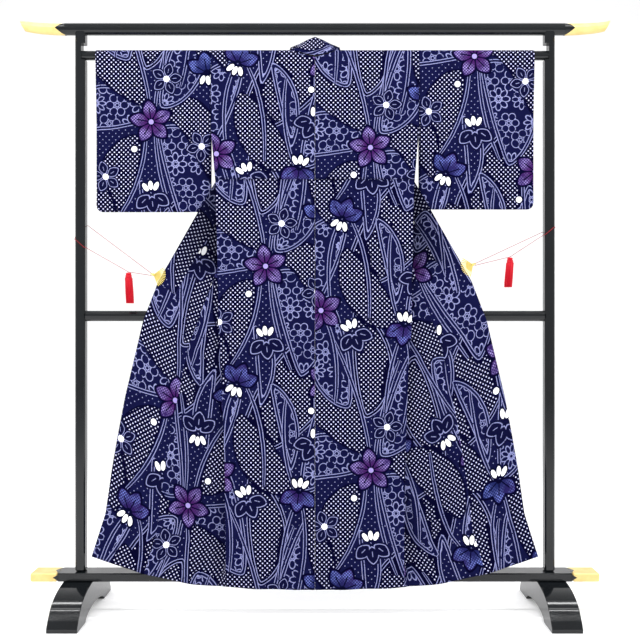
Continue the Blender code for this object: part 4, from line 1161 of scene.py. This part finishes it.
def draw_flowers(n, uv, colour, loose, periwinkle):
    """The flowers on top: filled or in outline, with five petals, or with three and white drops."""
    x, y, kind = n.attribute("motif")
    reach = n.length(x, y)
    outlined_five = n.near(kind, OUTLINED_FIVE)
    five = n.either(n.near(kind, FILLED_FIVE), outlined_five)
    fan = n.either(n.near(kind, FILLED_FAN), n.near(kind, OUTLINED_FAN))
    filled = n.times(n.below(kind, FILLED_FAN + 0.5), n.above(kind, FILLED_FIVE - 0.5))
    outlined = n.times(n.below(kind, OUTLINED_FAN + 0.5), n.above(kind, OUTLINED_FIVE - 0.5))
    flower = n.either(five, fan)

    around = n.times(reach, n.mix(filled, OUTLINED_SHRINK, 1.0))
    five_parts = folded(n, n.math("ARCTAN2", x, y), around, math.tau / 5)
    fan_parts = fanned(n, x, n.less(FAN_FOOT, y), FAN_TURN)
    along, across = (n.mix(fan, one, other) for one, other in zip(five_parts, fan_parts))
    shape = petal_shape(n, (along, across), FLOWER_PETAL)
    drop = petal_shape(n, fanned(n, x, n.less(y, DROP_FOOT), DROP_TURN), DROP_PETAL)
    dotted = n.either(n.near(kind, MOTIF_DOT.kind), outlined_five)

    # A dark surround, as cloth that was bound round each flower
    halo = n.times(n.below(shape, FLOWER_HALO), flower)
    drop_halo = n.times(n.below(drop, DROP_HALO), fan)
    dot_halo = n.times(n.below(reach, DOT_HALO_RADIUS), dotted)
    dark = n.either(halo, n.either(drop_halo, dot_halo))
    colour = n.blend(dark, colour, n.blend(filled, NAVY_DARK, NIGHT))

    # Filled petals: dyed, with fine pale dots towards their tips and a dark rib
    violet_share = n.ramp(n.noise(uv, 7.0, 0.0), 3.0, -1.0)
    dyed = n.blend(violet_share, VIOLET, BLUE)
    dyed = n.blend(five, dyed, n.blend(n.ramp(along, -30.0, 1.5), PURPLE, PLUM))
    light = n.blend(five, BLUE_LIGHT, LAVENDER)
    fine = n.times(lattice(n, uv, FINE_PITCH, FINE_RADIUS), n.below(shape, 0.92))
    glow = n.times(n.ramp(n.noise(uv, 40.0, 1.0), 2.6, -0.70), n.ramp(along, 44.0, -0.80))
    petals = n.blend(n.times(fine, glow), dyed, light)
    rib = n.times(n.below(n.size(across), RIB_HALF_WIDTH), n.below(along, RIB_END))
    petals = n.blend(rib, petals, NIGHT)
    colour = n.blend(n.times(n.times(n.below(shape, 1.0), flower), filled), colour, petals)
    middle = n.times(n.times(n.below(reach, MIDDLE_RADIUS), five), filled)
    colour = n.blend(middle, colour, LAVENDER)

    # Petals in outline, with a short vein, and last the white drops and dots
    vein = n.times(n.below(n.size(across), VEIN_HALF_WIDTH), n.near(along, VEIN_MIDDLE, VEIN_HALF_LENGTH))
    contour = n.either(vein, n.near(shape, 0.93, 0.065))
    contour = n.times(n.times(contour, outlined), loose)
    colour = n.blend(contour, colour, periwinkle)
    drops = n.times(n.below(drop, 1.0), fan)
    dots = n.times(n.below(reach, DOT_RADIUS), dotted)
    return n.blend(n.either(drops, dots), colour, WHITE)


def draw_print(n, uv):
    """The print's colour: the ground, the fills of the leaves, their lines, and the flowers."""
    loose = n.above(n.noise(uv, 240.0, 0.0), 0.27)
    fill, depth, line = draw_leaves(n, uv)
    is_kanoko = n.either(n.near(fill, KANOKO), n.near(fill, KANOKO_LINED))
    is_dotted = n.either(n.near(fill, DOTTED), n.near(fill, DOTTED_LINED))
    is_lined = n.above(fill, KANOKO_LINED - 0.5)
    clear = n.above(depth, n.mix(is_lined, FILL_MARGIN, LINED_MARGIN))
    kanoko = n.times(n.times(clear, lattice(n, uv, KANOKO_PITCH, KANOKO_RADIUS)), is_kanoko)
    sparse = n.times(n.times(clear, lattice(n, uv, SPARSE_PITCH, SPARSE_RADIUS)), is_dotted)
    daisies = n.times(n.times(draw_daisies(n), n.above(depth, DAISY_MARGIN)), n.near(fill, DAISIES))
    line = n.times(n.either(line, daisies), loose)

    ground = n.blend(n.noise(uv, 14.0, 2.0), NAVY_DARK, NAVY)
    ground = n.blend(is_kanoko, ground, NIGHT)
    periwinkle = n.blend(n.noise(uv, 9.0, 1.0), PERIWINKLE, PERIWINKLE_GREY)
    colour = n.blend(sparse, ground, PERIWINKLE)
    colour = n.blend(line, colour, periwinkle)
    colour = n.blend(kanoko, colour, DOT_WHITE)
    return draw_flowers(n, uv, colour, loose, periwinkle)


NAVY = hex_colour("0F1138")
NAVY_DARK = hex_colour("090A29")
NIGHT = hex_colour("03031F")
PERIWINKLE = hex_colour("898BB6")
PERIWINKLE_GREY = hex_colour("6A6E9A")
DOT_WHITE = hex_colour("BABADA")
WHITE = hex_colour("F4F4FA")
PURPLE = hex_colour("2C1C50")
PLUM = hex_colour("36174E")
LAVENDER = hex_colour("8E80BC")
VIOLET = hex_colour("24164A")
BLUE = hex_colour("181E4C")
BLUE_LIGHT = hex_colour("626EB4")
PALE_SIDE = hex_colour("4A4A78")


def cotton(name, paler):
    """Plain-weave cotton with the print. The dye goes through, so the wrong side is only paler."""
    n = Nodes(name)
    uv = n.tree.nodes.new("ShaderNodeUVMap").outputs[0]
    uv.node.uv_map = "Bolt"
    colour = draw_print(n, uv)
    slub = n.noise(n.scaled(uv, 1400.0, 90.0, 0.0), 1.0, 2.0)
    weft = n.noise(n.scaled(uv, 90.0, 1300.0, 0.0), 1.0, 2.0)
    weave = n.math("ADD", slub, weft)
    # Painted shade from the fill attribute's second part darkens the print beside the back's edges; the weave
    # varies its tone
    lit = n.less(1.0, n.attribute("fill")[1])
    shade = n.times(lit, n.math("MULTIPLY_ADD", weave, 0.35, 0.65))
    toned = n.add("VectorMath", colour, n.add("CombineXYZ", shade, shade, shade), operation="MULTIPLY")
    if paler:
        toned = n.blend(paler, toned, PALE_SIDE)
    normal = n.bump(weave, 0.00022, 0.55)
    normal = n.bump(n.noise(uv, 38.0, 3.0), 0.0011, 0.5, normal)
    return n.set(Base_Color=toned, Roughness=0.9, Normal=normal, Specular_IOR_Level=0.02)


def lacquer():
    n = Nodes("black_lacquer")
    place = n.place()
    colour = n.blend(n.noise(place, 9.0, 3.0), hex_colour("0A0C0E"), hex_colour("14171A"))
    rough = n.math("MULTIPLY_ADD", n.noise(place, 26.0, 3.0), 0.08, 0.07)
    normal = n.bump(n.noise(place, 55.0, 2.0), 0.0003, 0.25)
    return n.set(Base_Color=colour, Roughness=rough, Normal=normal, Specular_IOR_Level=0.3, Coat_Weight=0.15,
                 Coat_Roughness=0.06)


def gold(name, colour_low, colour_high, roughness, metal):
    n = Nodes(name)
    place = n.place()
    colour = n.blend(n.noise(place, 40.0, 4.0), hex_colour(colour_low), hex_colour(colour_high))
    rough = n.math("MULTIPLY_ADD", n.noise(place, 160.0, 2.0), 0.18, roughness)
    normal = n.bump(n.noise(place, 240.0, 2.0), 0.0002, 0.4)
    return n.set(Base_Color=colour, Roughness=rough, Normal=normal, Metallic=metal)


def thread(name, colour_low, colour_high, scale):
    """Silk thread: fine strands with a soft shine."""
    n = Nodes(name)
    strands = n.noise(n.scaled(n.place(), scale, scale, scale * 0.08), 1.0, 2.0)
    colour = n.blend(strands, hex_colour(colour_low), hex_colour(colour_high))
    normal = n.bump(strands, 0.0004, 0.6)
    return n.set(Base_Color=colour, Roughness=0.55, Normal=normal, Specular_IOR_Level=0.25)


# Clips, cords and tassels


def cord_route(side):
    """The cord's points: from the clip up behind the post, round it, and back by the tassel's knot."""
    clip = next(c for c in CLIPS if c.side == side)
    tassel = next(t for t in TASSELS if t.side == side)
    hold = POST_HOLDS[side]
    out = CORD_RADIUS + FIT_GAP
    inner, outer = POST_X - POST_WIDTH / 2 - out, POST_X + POST_WIDTH / 2 + out
    rear, front = POST_DEPTH / 2 + out, -POST_DEPTH / 2 - out
    y = CLIP_DEPTHS[side]
    eye = abs(clip.x) + 0.004 + out
    turn = 0.003
    rise = 0.0025
    points = [
        (eye, y + CORD_STEP, clip.z + rise),
        (inner, rear - turn, hold.rear_inner),
        (inner + turn, rear, hold.rear_inner),
        (outer - turn, rear, hold.rear_outer),
        (outer, rear - turn, hold.rear_outer),
        (outer, front + turn, hold.front_outer),
        (outer - turn, front, hold.front_outer),
        (inner + turn, front, hold.front_inner),
        (inner, front + turn / 2, hold.front_inner),
        (abs(tassel.x), y - CORD_STEP, tassel.z + KNOT_RISE),
        (eye, y - CORD_STEP, clip.z - rise),
    ]
    return [Vector((side * x, y, z)) for x, y, z in points]


def make_cord(side):
    end = SIDE_NAMES[side]
    route = cord_route(side)
    line = bpy.data.curves.new("cord_line_" + end, "CURVE")
    line.dimensions = "3D"
    line.bevel_depth = CORD_RADIUS
    line.bevel_resolution = 4
    line.use_fill_caps = True
    spline = line.splines.new("POLY")
    spline.points.add(len(route) - 1)
    for point, place in zip(spline.points, route):
        point.co = (*place, 1)
    piece = add_piece("cord_line_" + end, line, RED_CORD)
    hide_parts("cord_" + end)


def mesh_piece(name, made, finish, slot_name, *nodes):
    """A piece from a bmesh in place of CAD nodes."""
    bmesh.ops.recalc_face_normals(made, faces=made.faces)
    mesh = bpy.data.meshes.new(name)
    made.to_mesh(mesh)
    made.free()
    mesh.shade_smooth()
    mesh.set_sharp_from_angle(angle=math.radians(40))
    piece = add_piece(name, mesh, finish)
    if nodes:
        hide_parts(*nodes)
    return piece


def add_rings(made, rings, closed_ends=True):
    """A tube through rings of points."""
    loops = [[made.verts.new(point) for point in ring] for ring in rings]
    for one, other in zip(loops, loops[1:]):
        for j in range(len(one)):
            k = (j + 1) % len(one)
            made.faces.new((one[j], one[k], other[k], other[j]))
    if closed_ends:
        made.faces.new(loops[0])
        made.faces.new(loops[-1])


def circle(radius, count, start=0.0):
    """Points round a circle, as pairs."""
    turns = [start + math.tau * k / count for k in range(count)]
    return [(radius * math.cos(turn), radius * math.sin(turn)) for turn in turns]


def soften(piece, width, segments):
    """Rounds the sharp edges of a piece."""
    rim = piece.modifiers.new("Soft edges", "BEVEL")
    rim.width = width
    rim.segments = segments
    rim.limit_method = "ANGLE"
    return rim


def fan_point(clip, degrees, reach, y):
    angle = math.radians(degrees)
    return clip.x + reach * math.cos(angle), y, clip.z + reach * math.sin(angle)


def add_stick(made, clip, degrees, half, y):
    """One stick of the fan, narrow at the pivot, widest at two thirds and round at its tip."""
    edge = [(FAN_RADIUS * share if share > 0.01 else share, half * width) for share, width in STICK_PROFILE]
    outline = [(reach, degrees - off) for reach, off in edge]
    outline += [(reach, degrees + off) for reach, off in edge[::-1]]
    add_rings(made, [[fan_point(clip, at, reach, depth) for reach, at in outline]
                     for depth in (y, y + STICK_THICKNESS)])


def add_plate(made, clip, reach, y):
    """A flat sector that joins the sticks, or the jaw behind the cloth."""
    arc = [fan_point(clip, clip.direction + clip.spread * (i / 9 - 1), reach, y) for i in range(19)]
    outline = [(clip.x, y, clip.z)] + arc
    add_rings(made, [[(x, depth, z) for x, _, z in outline] for depth in (y, y + PLATE_THICKNESS)])


def add_eye(made, clip, y):
    """A small ring that a cord is tied to, behind the pivot."""
    x, _, z = fan_point(clip, clip.direction + 180, EYE_REACH, y)
    wire = circle(EYE_WIRE, 8)
    rings = [[(x + (EYE_RADIUS + out) * cos, y + along, z + (EYE_RADIUS + out) * sin) for out, along in wire]
             for cos, sin in circle(1.0, 16)]
    add_rings(made, rings + rings[:1], closed_ends=False)


def make_clip(clip):
    """A small folding fan on the near side, a shorter jaw behind the cloth, and the pivot between."""
    y = CLIP_DEPTHS[clip.side]
    face = y - COLLAR_WALL / 2 - CLIP_PLAY
    rear = y + COLLAR_WALL / 2 + CLIP_PLAY
    made = bmesh.new()
    pitch = 2 * clip.spread / FAN_STICKS
    for k in range(FAN_STICKS):
        raised = STICK_STEP * (k % 2)
        add_stick(made, clip, clip.direction - clip.spread + pitch * (k + 0.5), pitch * STICK_SHARE,
                  face - STICK_DEPTH - raised)
    add_plate(made, clip, FAN_RADIUS * 0.35, face - 0.0010)
    add_plate(made, clip, FAN_RADIUS * 0.55, rear)
    profile = ((0.0016, face - 0.0050), (0.0034, face - 0.0044), (0.0042, face - 0.0030),
               (0.0042, rear + 0.0008), (0.0030, rear + 0.0022))
    add_rings(made, [[(clip.x + out, depth, clip.z + up) for out, up in circle(radius, 20)]
                     for radius, depth in profile])
    for away in (-CORD_STEP, CORD_STEP):
        add_eye(made, clip, y + away)
    bmesh.ops.remove_doubles(made, verts=made.verts, dist=JOIN_DISTANCE)
    end = SIDE_NAMES[clip.side]
    soften(mesh_piece("fan_clip_" + end, made, GILT, "gilt_metal", "clip_" + end), 0.00025, 2)


def make_tassel(tassel):
    """A bound head over a skirt of strands."""
    y = CLIP_DEPTHS[tassel.side] - CORD_STEP
    top = tassel.z + 0.0014
    foot = top - TASSEL_HEAD_HEIGHT
    end_z = top - tassel.length
    draw = random.Random(7 + tassel.side)
    made = bmesh.new()
    profile = [(radius, top - drop) for radius, drop in TASSEL_HEAD]
    profile += [(TASSEL_RADIUS, foot), (TASSEL_RADIUS, foot - 0.010), (0.0098, end_z + 0.012)]
    rings = []
    for radius, z in profile:
        x = tassel.x + tassel.lean * max(foot - z, 0.0) / (foot - end_z)
        rings.append([(x + out, y + off, z) for out, off in circle(radius, 22)])
    add_rings(made, rings)
    for k in range(TASSEL_STRANDS):
        angle = k * GOLDEN_ANGLE
        out = math.sqrt((k + 0.5) / TASSEL_STRANDS)
        length = draw.uniform(0.985, 1.0)
        curl = draw.uniform(-0.0005, 0.0005)
        rings = []
        for step in range(6):
            share = step / 5
            radius = out * (TASSEL_RADIUS + 0.0010 * smooth(share * 1.5)) + curl * share
            x = tassel.x + tassel.lean * share + radius * math.cos(angle)
            z = foot + 0.001 + (end_z - foot - 0.001) * share * length
            strand = circle(STRAND_RADIUS * (1.0 - 0.35 * share ** 6), 3, angle)
            rings.append([(x + off, y + radius * math.sin(angle) + way, z) for off, way in strand])
        add_rings(made, rings)
    end = SIDE_NAMES[tassel.side]
    mesh_piece("tassel_strands_" + end, made, SILK, "red_silk", "tassel_" + end)


def smooth_line(points):
    """A smooth line through points, with three more places in each stretch."""
    last = len(points) - 1
    line = [points[0]]
    for i in range(last):
        near = [points[min(max(k, 0), last)] for k in (i - 1, i, i + 1, i + 2)]
        for t in (0.25, 0.5, 0.75, 1.0):
            line.append(tuple(b + (c - a) * t / 2 + (2 * a - 5 * b + 4 * c - d) * t ** 2 / 2
                              + (3 * b - a - 3 * c + d) * t ** 3 / 2 for a, b, c, d in zip(*near)))
    return line


def make_foot(side):
    """A foot whose top is one smooth curve over a shallow arch."""
    under = [(FOOT_ARCH_HALF * math.cos(math.pi * i / 48), FOOT_ARCH_RISE * math.sin(math.pi * i / 48))
             for i in range(25)]
    half = under[::-1] + [(FOOT_HALF_LENGTH, 0.0), (FOOT_HALF_LENGTH, 0.012)] + smooth_line(FOOT_TOP)
    outline = half + [(-y, z) for y, z in half[::-1]][:-1]
    made = bmesh.new()
    x = side * FOOT_X
    add_rings(made, [[(x + out, y, z) for y, z in outline] for out in (-FOOT_WIDTH / 2, FOOT_WIDTH / 2)])
    bmesh.ops.remove_doubles(made, verts=made.verts, dist=JOIN_DISTANCE)
    end = SIDE_NAMES[side]
    piece = mesh_piece("arched_foot_" + end, made, LACQUER, "black_lacquer", "foot_" + end)
    soften(piece, 0.003, 3).harden_normals = True


def make_joint_points(side):
    """The black bars' ends, which run out in points over the gold caps."""
    made = bmesh.new()
    start, tip = side * (RAIL_BLACK - 0.002), side * (RAIL_BLACK + 0.013)
    face = [(start, RAIL_BOTTOM + 0.0045), (start, RAIL_TOP - 0.0045),
            (tip, (RAIL_BOTTOM + RAIL_TOP) / 2)]
    for out in (-1, 1):
        add_rings(made, [[(x, out * (RAIL_DEPTH / 2 + depth), z) for x, z in face] for depth in POINT_DEPTHS])
    face = [(start, -0.029), (start, 0.029), (tip, 0.0)]
    add_rings(made, [[(x, y, RAIL_TOP + depth) for x, y in face] for depth in POINT_DEPTHS])
    for facing in (-90, 90):
        rings = []
        for i in range(9):
            share = i / 8
            half = 78 * (1 - share) + 2
            along = side * (TOP_BAR_BLACK - 0.002 + TOP_POINT_LENGTH * share)
            radius = TOP_BAR_RADIUS * (1 - 0.12 * max(share * TOP_POINT_LENGTH - 0.002, 0.0) / CAP_LENGTH)
            turns = [math.radians(facing + half * (j / 5 - 1)) for j in range(11)]
            corners = [(radius + 0.0003, a) for a in turns] + [(radius - 0.0005, a) for a in turns[::-1]]
            rings.append([(along, r * math.sin(a), TOP_BAR_HEIGHT + r * math.cos(a)) for r, a in corners])
        add_rings(made, rings)
    mesh_piece("joint_points_" + SIDE_NAMES[side], made, LACQUER, "black_lacquer")


def make_floor():
    """A pale floor that turns up into a pale wall far behind. Its front part glows faintly, painted light
    that washes out the shadows on it.
    """
    made = bmesh.new()
    profile = [(-6.0, 0.0), (3.0, 0.0)]
    profile += [(3.0 + 1.5 * math.sin(math.radians(a)), 1.5 - 1.5 * math.cos(math.radians(a)))
                for a in range(10, 91, 10)]
    profile.append((4.5, 9.0))
    columns = [[made.verts.new((x, y, z - 0.0004)) for y, z in profile] for x in (-9.0, 9.0)]
    for a, b, c, d in zip(columns[0], columns[0][1:], columns[1][1:], columns[1]):
        made.faces.new((d, c, b, a))
    mesh = bpy.data.meshes.new("studio_floor")
    made.to_mesh(mesh)
    made.free()
    mesh.shade_smooth()
    n = Nodes("studio_paper")
    place = n.place()
    colour = n.blend(n.noise(place, 3.0, 2.0), (0.86, 0.86, 0.865, 1), (0.90, 0.90, 0.905, 1))
    # Painted light: the floor glows fully in front of 0.6 m behind the stand's middle and fades out by 2.6 m,
    # which lifts the shadows cast on it
    near = n.ramp(n.add("SeparateXYZ", place, output=1), -0.5, 1.3)
    mesh.materials.append(n.set(Base_Color=colour, Roughness=0.9, Emission_Color=(1.0, 1.0, 1.0, 1.0),
                                Emission_Strength=n.times(near, 0.22)))
    add_object("studio_floor", mesh)


def add_light(name, place, target, size, power):
    data = bpy.data.lights.new(name, "AREA")
    data.shape = "RECTANGLE"
    data.size, data.size_y = size
    data.energy = power
    made = add_object(name, data)
    made.location = place
    made.rotation_euler = (Vector(target) - Vector(place)).to_track_quat("-Z", "Y").to_euler()
    made.visible_camera = False


def make_lights():
    """Two boxes beside the camera, two strips and a box overhead, two boxes for the wall, and a pale room."""
    for side, power in ((-1, 90), (1, 73)):
        name = SIDE_NAMES[side] + "_box"
        add_light(name, (side * 3.1, -2.1, 1.9), (-side * 0.1, 0, 0.9), (1.0, 1.7), power)
    add_light("near_top_strip", (0.0, -1.28, 3.2), (0, 0, 0.4), (4.4, 0.11), 54)
    add_light("far_top_strip", (0.0, 0.62, 3.2), (0, -0.1, 0.4), (4.4, 0.20), 54)
    add_light("top_box", (0.0, -0.62, 3.2), (0, -0.1, 0.6), (3.8, 0.45), 22)
    for side in (-1, 1):
        name = SIDE_NAMES[side] + "_wall_box"
        add_light(name, (side * 2.4, 1.4, 2.8), (side * 1.7, 4.5, 1.8), (1.4, 1.4), 19)
    world = bpy.data.worlds.new("studio")
    world.use_nodes = True
    world.node_tree.nodes["Background"].inputs[0].default_value = (1.0, 1.0, 1.0, 1)
    world.node_tree.nodes["Background"].inputs[1].default_value = 0.6
    bpy.context.scene.world = world
    bpy.context.scene.view_settings.view_transform = "Standard"


make_camera()
CLIP_DEPTHS = {clip.side: clip_depth(clip) for clip in CLIPS}
RED_CORD = thread("red_cord", "7A0210", "9C0618", 900.0)
COTTON = cotton("yukata_cotton", 0.0)
COTTON_BACK = cotton("yukata_cotton_wrong_side", 0.22)
LACQUER = lacquer()
GOLD_LACQUER = gold("gold_lacquer", "C8AA5C", "E6D090", 0.30, 0.30)
GILT = gold("gilt_metal", "C4A644", "F4E48C", 0.24, 0.4)
SILK = thread("red_silk", "9A0418", "D00A26", 1400.0)
for robe_side in (-1, 1):
    make_cord(robe_side)
    make_body(robe_side)
    make_overlap(robe_side)
    make_sleeve(robe_side)
    make_joint_points(robe_side)
    make_foot(robe_side)
make_collar()
for clip, tassel in zip(CLIPS, TASSELS):
    make_clip(clip)
    make_tassel(tassel)
NODE_FINISH = {
    LACQUER: ("rod", "top_bar", "middle_bar", "bottom_bar", "post_left", "post_right"),
    GOLD_LACQUER: ("top_cap_left", "top_cap_right", "bottom_cap_left", "bottom_cap_right")}
for finish, node_names in NODE_FINISH.items():
    for node_name in node_names:
        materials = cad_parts[node_name].data.materials
        materials.clear()
        materials.append(finish)
make_floor()
make_lights()
